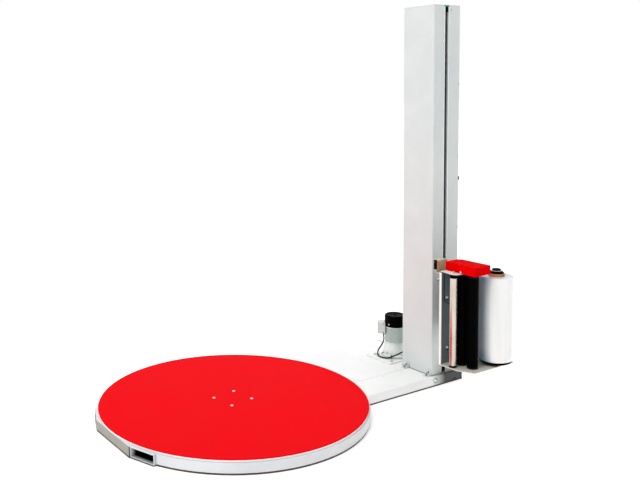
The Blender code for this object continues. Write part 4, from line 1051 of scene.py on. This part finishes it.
def roller_end(middle, inner, outer, low, high):
    """A ring round the end of a roller, with both its edges turned in."""
    return moved(turned([
        (inner, low), (outer, low + 0.001), (outer, high - 0.001), (inner, high),
        (inner - 0.0016, high), (inner - 0.0016, low),
    ], 40, closed=True), (middle.x, middle.y, 0.0))


def build_roller_details():
    """End rings of the three rollers, collars of the driven ones and the nuts under the plate."""
    bottom_low, bottom_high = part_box("carriage_bottom_plate")
    top_plate_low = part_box("carriage_top_plate")[0]
    nuts = []
    for name in ("prestretch_roller_rear", "prestretch_roller_front", "idle_roller"):
        low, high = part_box(name)
        middle = (low + high) / 2.0
        reach = (high.x - low.x) / 2.0
        if name == "idle_roller":
            # The idle roller's black ends; the top one also stands in for the shade under the top plate.
            ends = ((bottom_high.z + 0.0012, IDLE_SLEEVE[0]), (IDLE_SLEEVE[1], top_plate_low.z - 0.0012))
            rims = [roller_end(middle, reach - 0.0018, reach - 0.0002, *limits) for limits in ends]
            add("idle_roller_end_rims", together(rims), BLACK, name)
        else:
            body = name.replace("_roller", "")
            rims = [roller_end(middle, reach + 0.0001, reach + 0.0004, *limits) for limits in RUBBER_ENDS]
            add(body + "_end_rims", together(rims), SATIN_BLACK, body)
            collar = moved(turned([
                (0.0081, 0.0), (0.014, 0.0), (0.014, 0.0028), (0.0125, 0.0034), (0.0081, 0.0034),
            ], 24, closed=True), (middle.x, middle.y, bottom_high.z + LIFT_OFF))
            add(body + "_collar", collar, LAMP_WHITE, body)
        nuts.append(moved(hexagon(0.019, 0.0048), (middle.x, middle.y, bottom_low.z - LIFT_OFF), DOWN))
    add("roller_shaft_nuts", together(nuts), BOLT_ZINC, "carriage")


def build_carriage_fasteners():
    """Bolts of the bottom plate, the gear cover's screw and the photocell's lens."""
    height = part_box("carriage_bottom_plate")[1].z + LIFT_OFF
    spots = [(x, y, height) for x, y in BOTTOM_BOLTS]
    heads = scattered(lambda: socket_bolt(0.0048, 0.0030), spots, UP)
    add("bottom_plate_bolts", heads, BOLT_ZINC, "carriage")

    cover_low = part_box("gear_cover")[0]
    place = (cover_low.x + 0.0054, COVER_SCREW_Y, cover_low.z + 0.0075)
    add("gear_cover_screw", moved(socket_bolt(0.0052, 0.0026), place, LEFT), HIGHLIGHT_BOLT, "carriage")

    cell_low, cell_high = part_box("photocell")
    place = (cell_low.x - 0.0001, (cell_low.y + cell_high.y) / 2.0, cell_high.z - 0.012)
    lens = moved(turned([
        (0.0, 0.0), (0.0040, 0.0), (0.0040, 0.0006), (0.0028, 0.0012), (0.0, 0.0015),
    ], 20), place, LEFT)
    add("photocell_lens", lens, LENS_RED, "carriage")


# ---------------------------------------------------------------- film spool

SPOOL = (1.300, -0.731)
WINDING_INNER = 0.0441
WINDING_TURNS = 22
WINDING_RINGS = 26                       # uneven rings down the roll's outside
TAIL_START, TAIL_TURN = math.radians(40.0), math.radians(22.0)
TAIL_COLUMNS = 14
KNOB_BASE_TOP = 0.7662
KNOB_CAP_LOW = 0.7680
KNOB_STEM = 0.0163


def build_winding():
    """The wound roll, with ridged ends and a slightly uneven outside."""
    low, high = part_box("film_roll")
    outer = (high.x - low.x) / 2.0
    seed = random.Random(7)
    step = (outer - 0.0012 - WINDING_INNER) / WINDING_TURNS
    profile = [(WINDING_INNER, high.z - 0.0006)]
    for index in range(WINDING_TURNS):
        start = WINDING_INNER + step * index
        height = high.z - 0.0002 - 0.0009 * seed.random()
        profile += [(start + step * 0.15, height), (start + step * 0.85, height)]
        profile.append((start + step, height - 0.0006))
    profile += [(outer - 0.0006, high.z - 0.0008), (outer, high.z - 0.0022)]
    for index in range(1, WINDING_RINGS):
        height = high.z - (high.z - low.z) * index / WINDING_RINGS
        profile.append((outer - 0.0004 * seed.random(), height))
    profile += [(outer, low.z + 0.0022), (outer - 0.0006, low.z + 0.0008)]
    for index in range(WINDING_TURNS, 0, -1):
        start = WINDING_INNER + step * (index - 1)
        height = low.z + 0.0002 + 0.0009 * seed.random()
        profile += [(start + step * 0.85, height), (start + step * 0.15, height), (start, height + 0.0006)]
    shape = moved(turned(profile, 96, closed=True), (*SPOOL, 0.0))
    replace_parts(add("film_winding", shape, FILM, "spool", 50.0), "film_roll")


def build_film_tail():
    """The film's loose end, standing slightly off the roll."""
    low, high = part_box("film_roll")
    outer = (high.x - low.x) / 2.0
    tail = bmesh.new()
    rows = []
    for column in range(TAIL_COLUMNS + 1):
        share = column / TAIL_COLUMNS
        turn = TAIL_START - TAIL_TURN * share
        reach = outer + 0.0003 + 0.0004 * share
        x, y = SPOOL[0] + reach * math.cos(turn), SPOOL[1] + reach * math.sin(turn)
        rows.append([tail.verts.new((x, y, low.z + 0.004)), tail.verts.new((x, y, high.z - 0.004))])
    for first, second in zip(rows, rows[1:]):
        tail.faces.new((first[0], second[0], second[1], first[1]))
    bmesh.ops.solidify(tail, geom=list(tail.faces), thickness=0.00025)
    add("film_tail", tail, FILM, "spool", 60.0)


def build_knob_details():
    """The pale ring on the knob's base, and the knob's grips, neck and top."""
    collar = moved(turned([
        (KNOB_STEM, KNOB_BASE_TOP), (0.0292, KNOB_BASE_TOP), (0.0286, 0.7669), (KNOB_STEM, 0.7672),
    ], 36, closed=True), (*SPOOL, 0.0))
    add("knob_collar", collar, LAMP_WHITE, "spool")
    grips = []
    for x, y, turn in circle_spots(SPOOL, 0.0235, 12):
        grip = block((-0.0016, -0.0022, 0.0), (0.0007, 0.0022, 0.0066), 0.0006)
        grip.transform(Matrix.Translation((x, y, KNOB_CAP_LOW)) @ Matrix.Rotation(turn, 4, "Z"))
        grips.append(grip)
    neck_high = KNOB_CAP_LOW + 0.0020
    grips.append(moved(turned([
        (KNOB_STEM, KNOB_CAP_LOW), (0.0232, KNOB_CAP_LOW), (0.0232, neck_high), (KNOB_STEM, neck_high),
    ], 36, closed=True), (*SPOOL, 0.0)))
    grips.append(moved(turned([
        (0.0, 0.0), (0.0130, 0.0), (0.0122, 0.0010), (0.0060, 0.0014), (0.0, 0.0014),
    ], 32), (*SPOOL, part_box("mandrel_knob")[1].z)))
    add("knob_grips", together(grips), BLACK, "spool")


for build in (
    build_turntable_details, build_platform_details, build_slot_details, build_mast_fasteners,
    build_foot_details, build_cap_bolts, build_mount_bolts, build_stator_details,
    build_fan_cover_details, build_terminal_box_details, build_cable_ties, build_display,
    build_button_rings, build_knob_scale, build_control_box_screws, build_door_hinges,
    build_door_details, build_web_details, build_roller_details, build_carriage_fasteners,
    build_winding, build_film_tail, build_knob_details,
):
    build()

# ---------------------------------------------------------------- floor and light

FLOOR_REACH = 60.0
FLOOR_DROP = 0.0005                      # below the base plate's underside
FRONT_LIGHT = 0.22                       # the room's light in front of the machine, against 1 behind it


def build_floor():
    """A plain pale floor."""
    mesh = bpy.data.meshes.new("floor")
    reach = FLOOR_REACH
    mesh.from_pydata(
        [(-reach, -reach, 0.0), (reach, -reach, 0.0), (reach, reach, 0.0), (-reach, reach, 0.0)],
        [], [(0, 1, 2, 3)],
    )
    mesh.materials.append(finish(
        "floor_pale", (250, 250, 250), (252, 252, 252), (0.80, 0.90), 120.0, 0.02,
        glow=0.30, gloss=0.1,
    ))
    floor = bpy.data.objects.new("floor", mesh)
    floor.location = (0.0, 0.0, -FLOOR_DROP)
    bpy.context.collection.objects.link(floor)


def build_sun(name, towards, strength, spread):
    """A soft, even light from one direction."""
    data = bpy.data.lights.new(name, "SUN")
    data.energy = strength
    data.angle = math.radians(spread)
    lamp = bpy.data.objects.new(name, data)
    lamp.rotation_euler = Vector(towards).to_track_quat("Z", "Y").to_euler()
    bpy.context.collection.objects.link(lamp)


def build_world():
    """A white room, a little darker in front of the machine than behind it."""
    world = bpy.data.worlds.new("studio")
    bpy.context.scene.world = world
    world.use_nodes = True
    tree = world.node_tree
    background = tree.nodes["Background"]
    coords = tree.nodes.new("ShaderNodeTexCoord")
    towards = tree.nodes.new("ShaderNodeVectorMath")
    towards.operation = "DOT_PRODUCT"
    towards.inputs[1].default_value = (0.42, 0.70, 0.58)
    tree.links.new(coords.outputs["Generated"], towards.inputs[0])
    strength = ranged(tree, towards.outputs["Value"], -0.6, 0.35, FRONT_LIGHT, 1.0)
    tree.links.new(strength, background.inputs["Strength"])
    background.inputs["Color"].default_value = (1.0, 1.0, 1.0, 1.0)


build_floor()
build_world()
build_sun("key", (-0.66, -0.10, 0.74), 1.15, 24.0)
bpy.context.scene.view_settings.view_transform = "Standard"
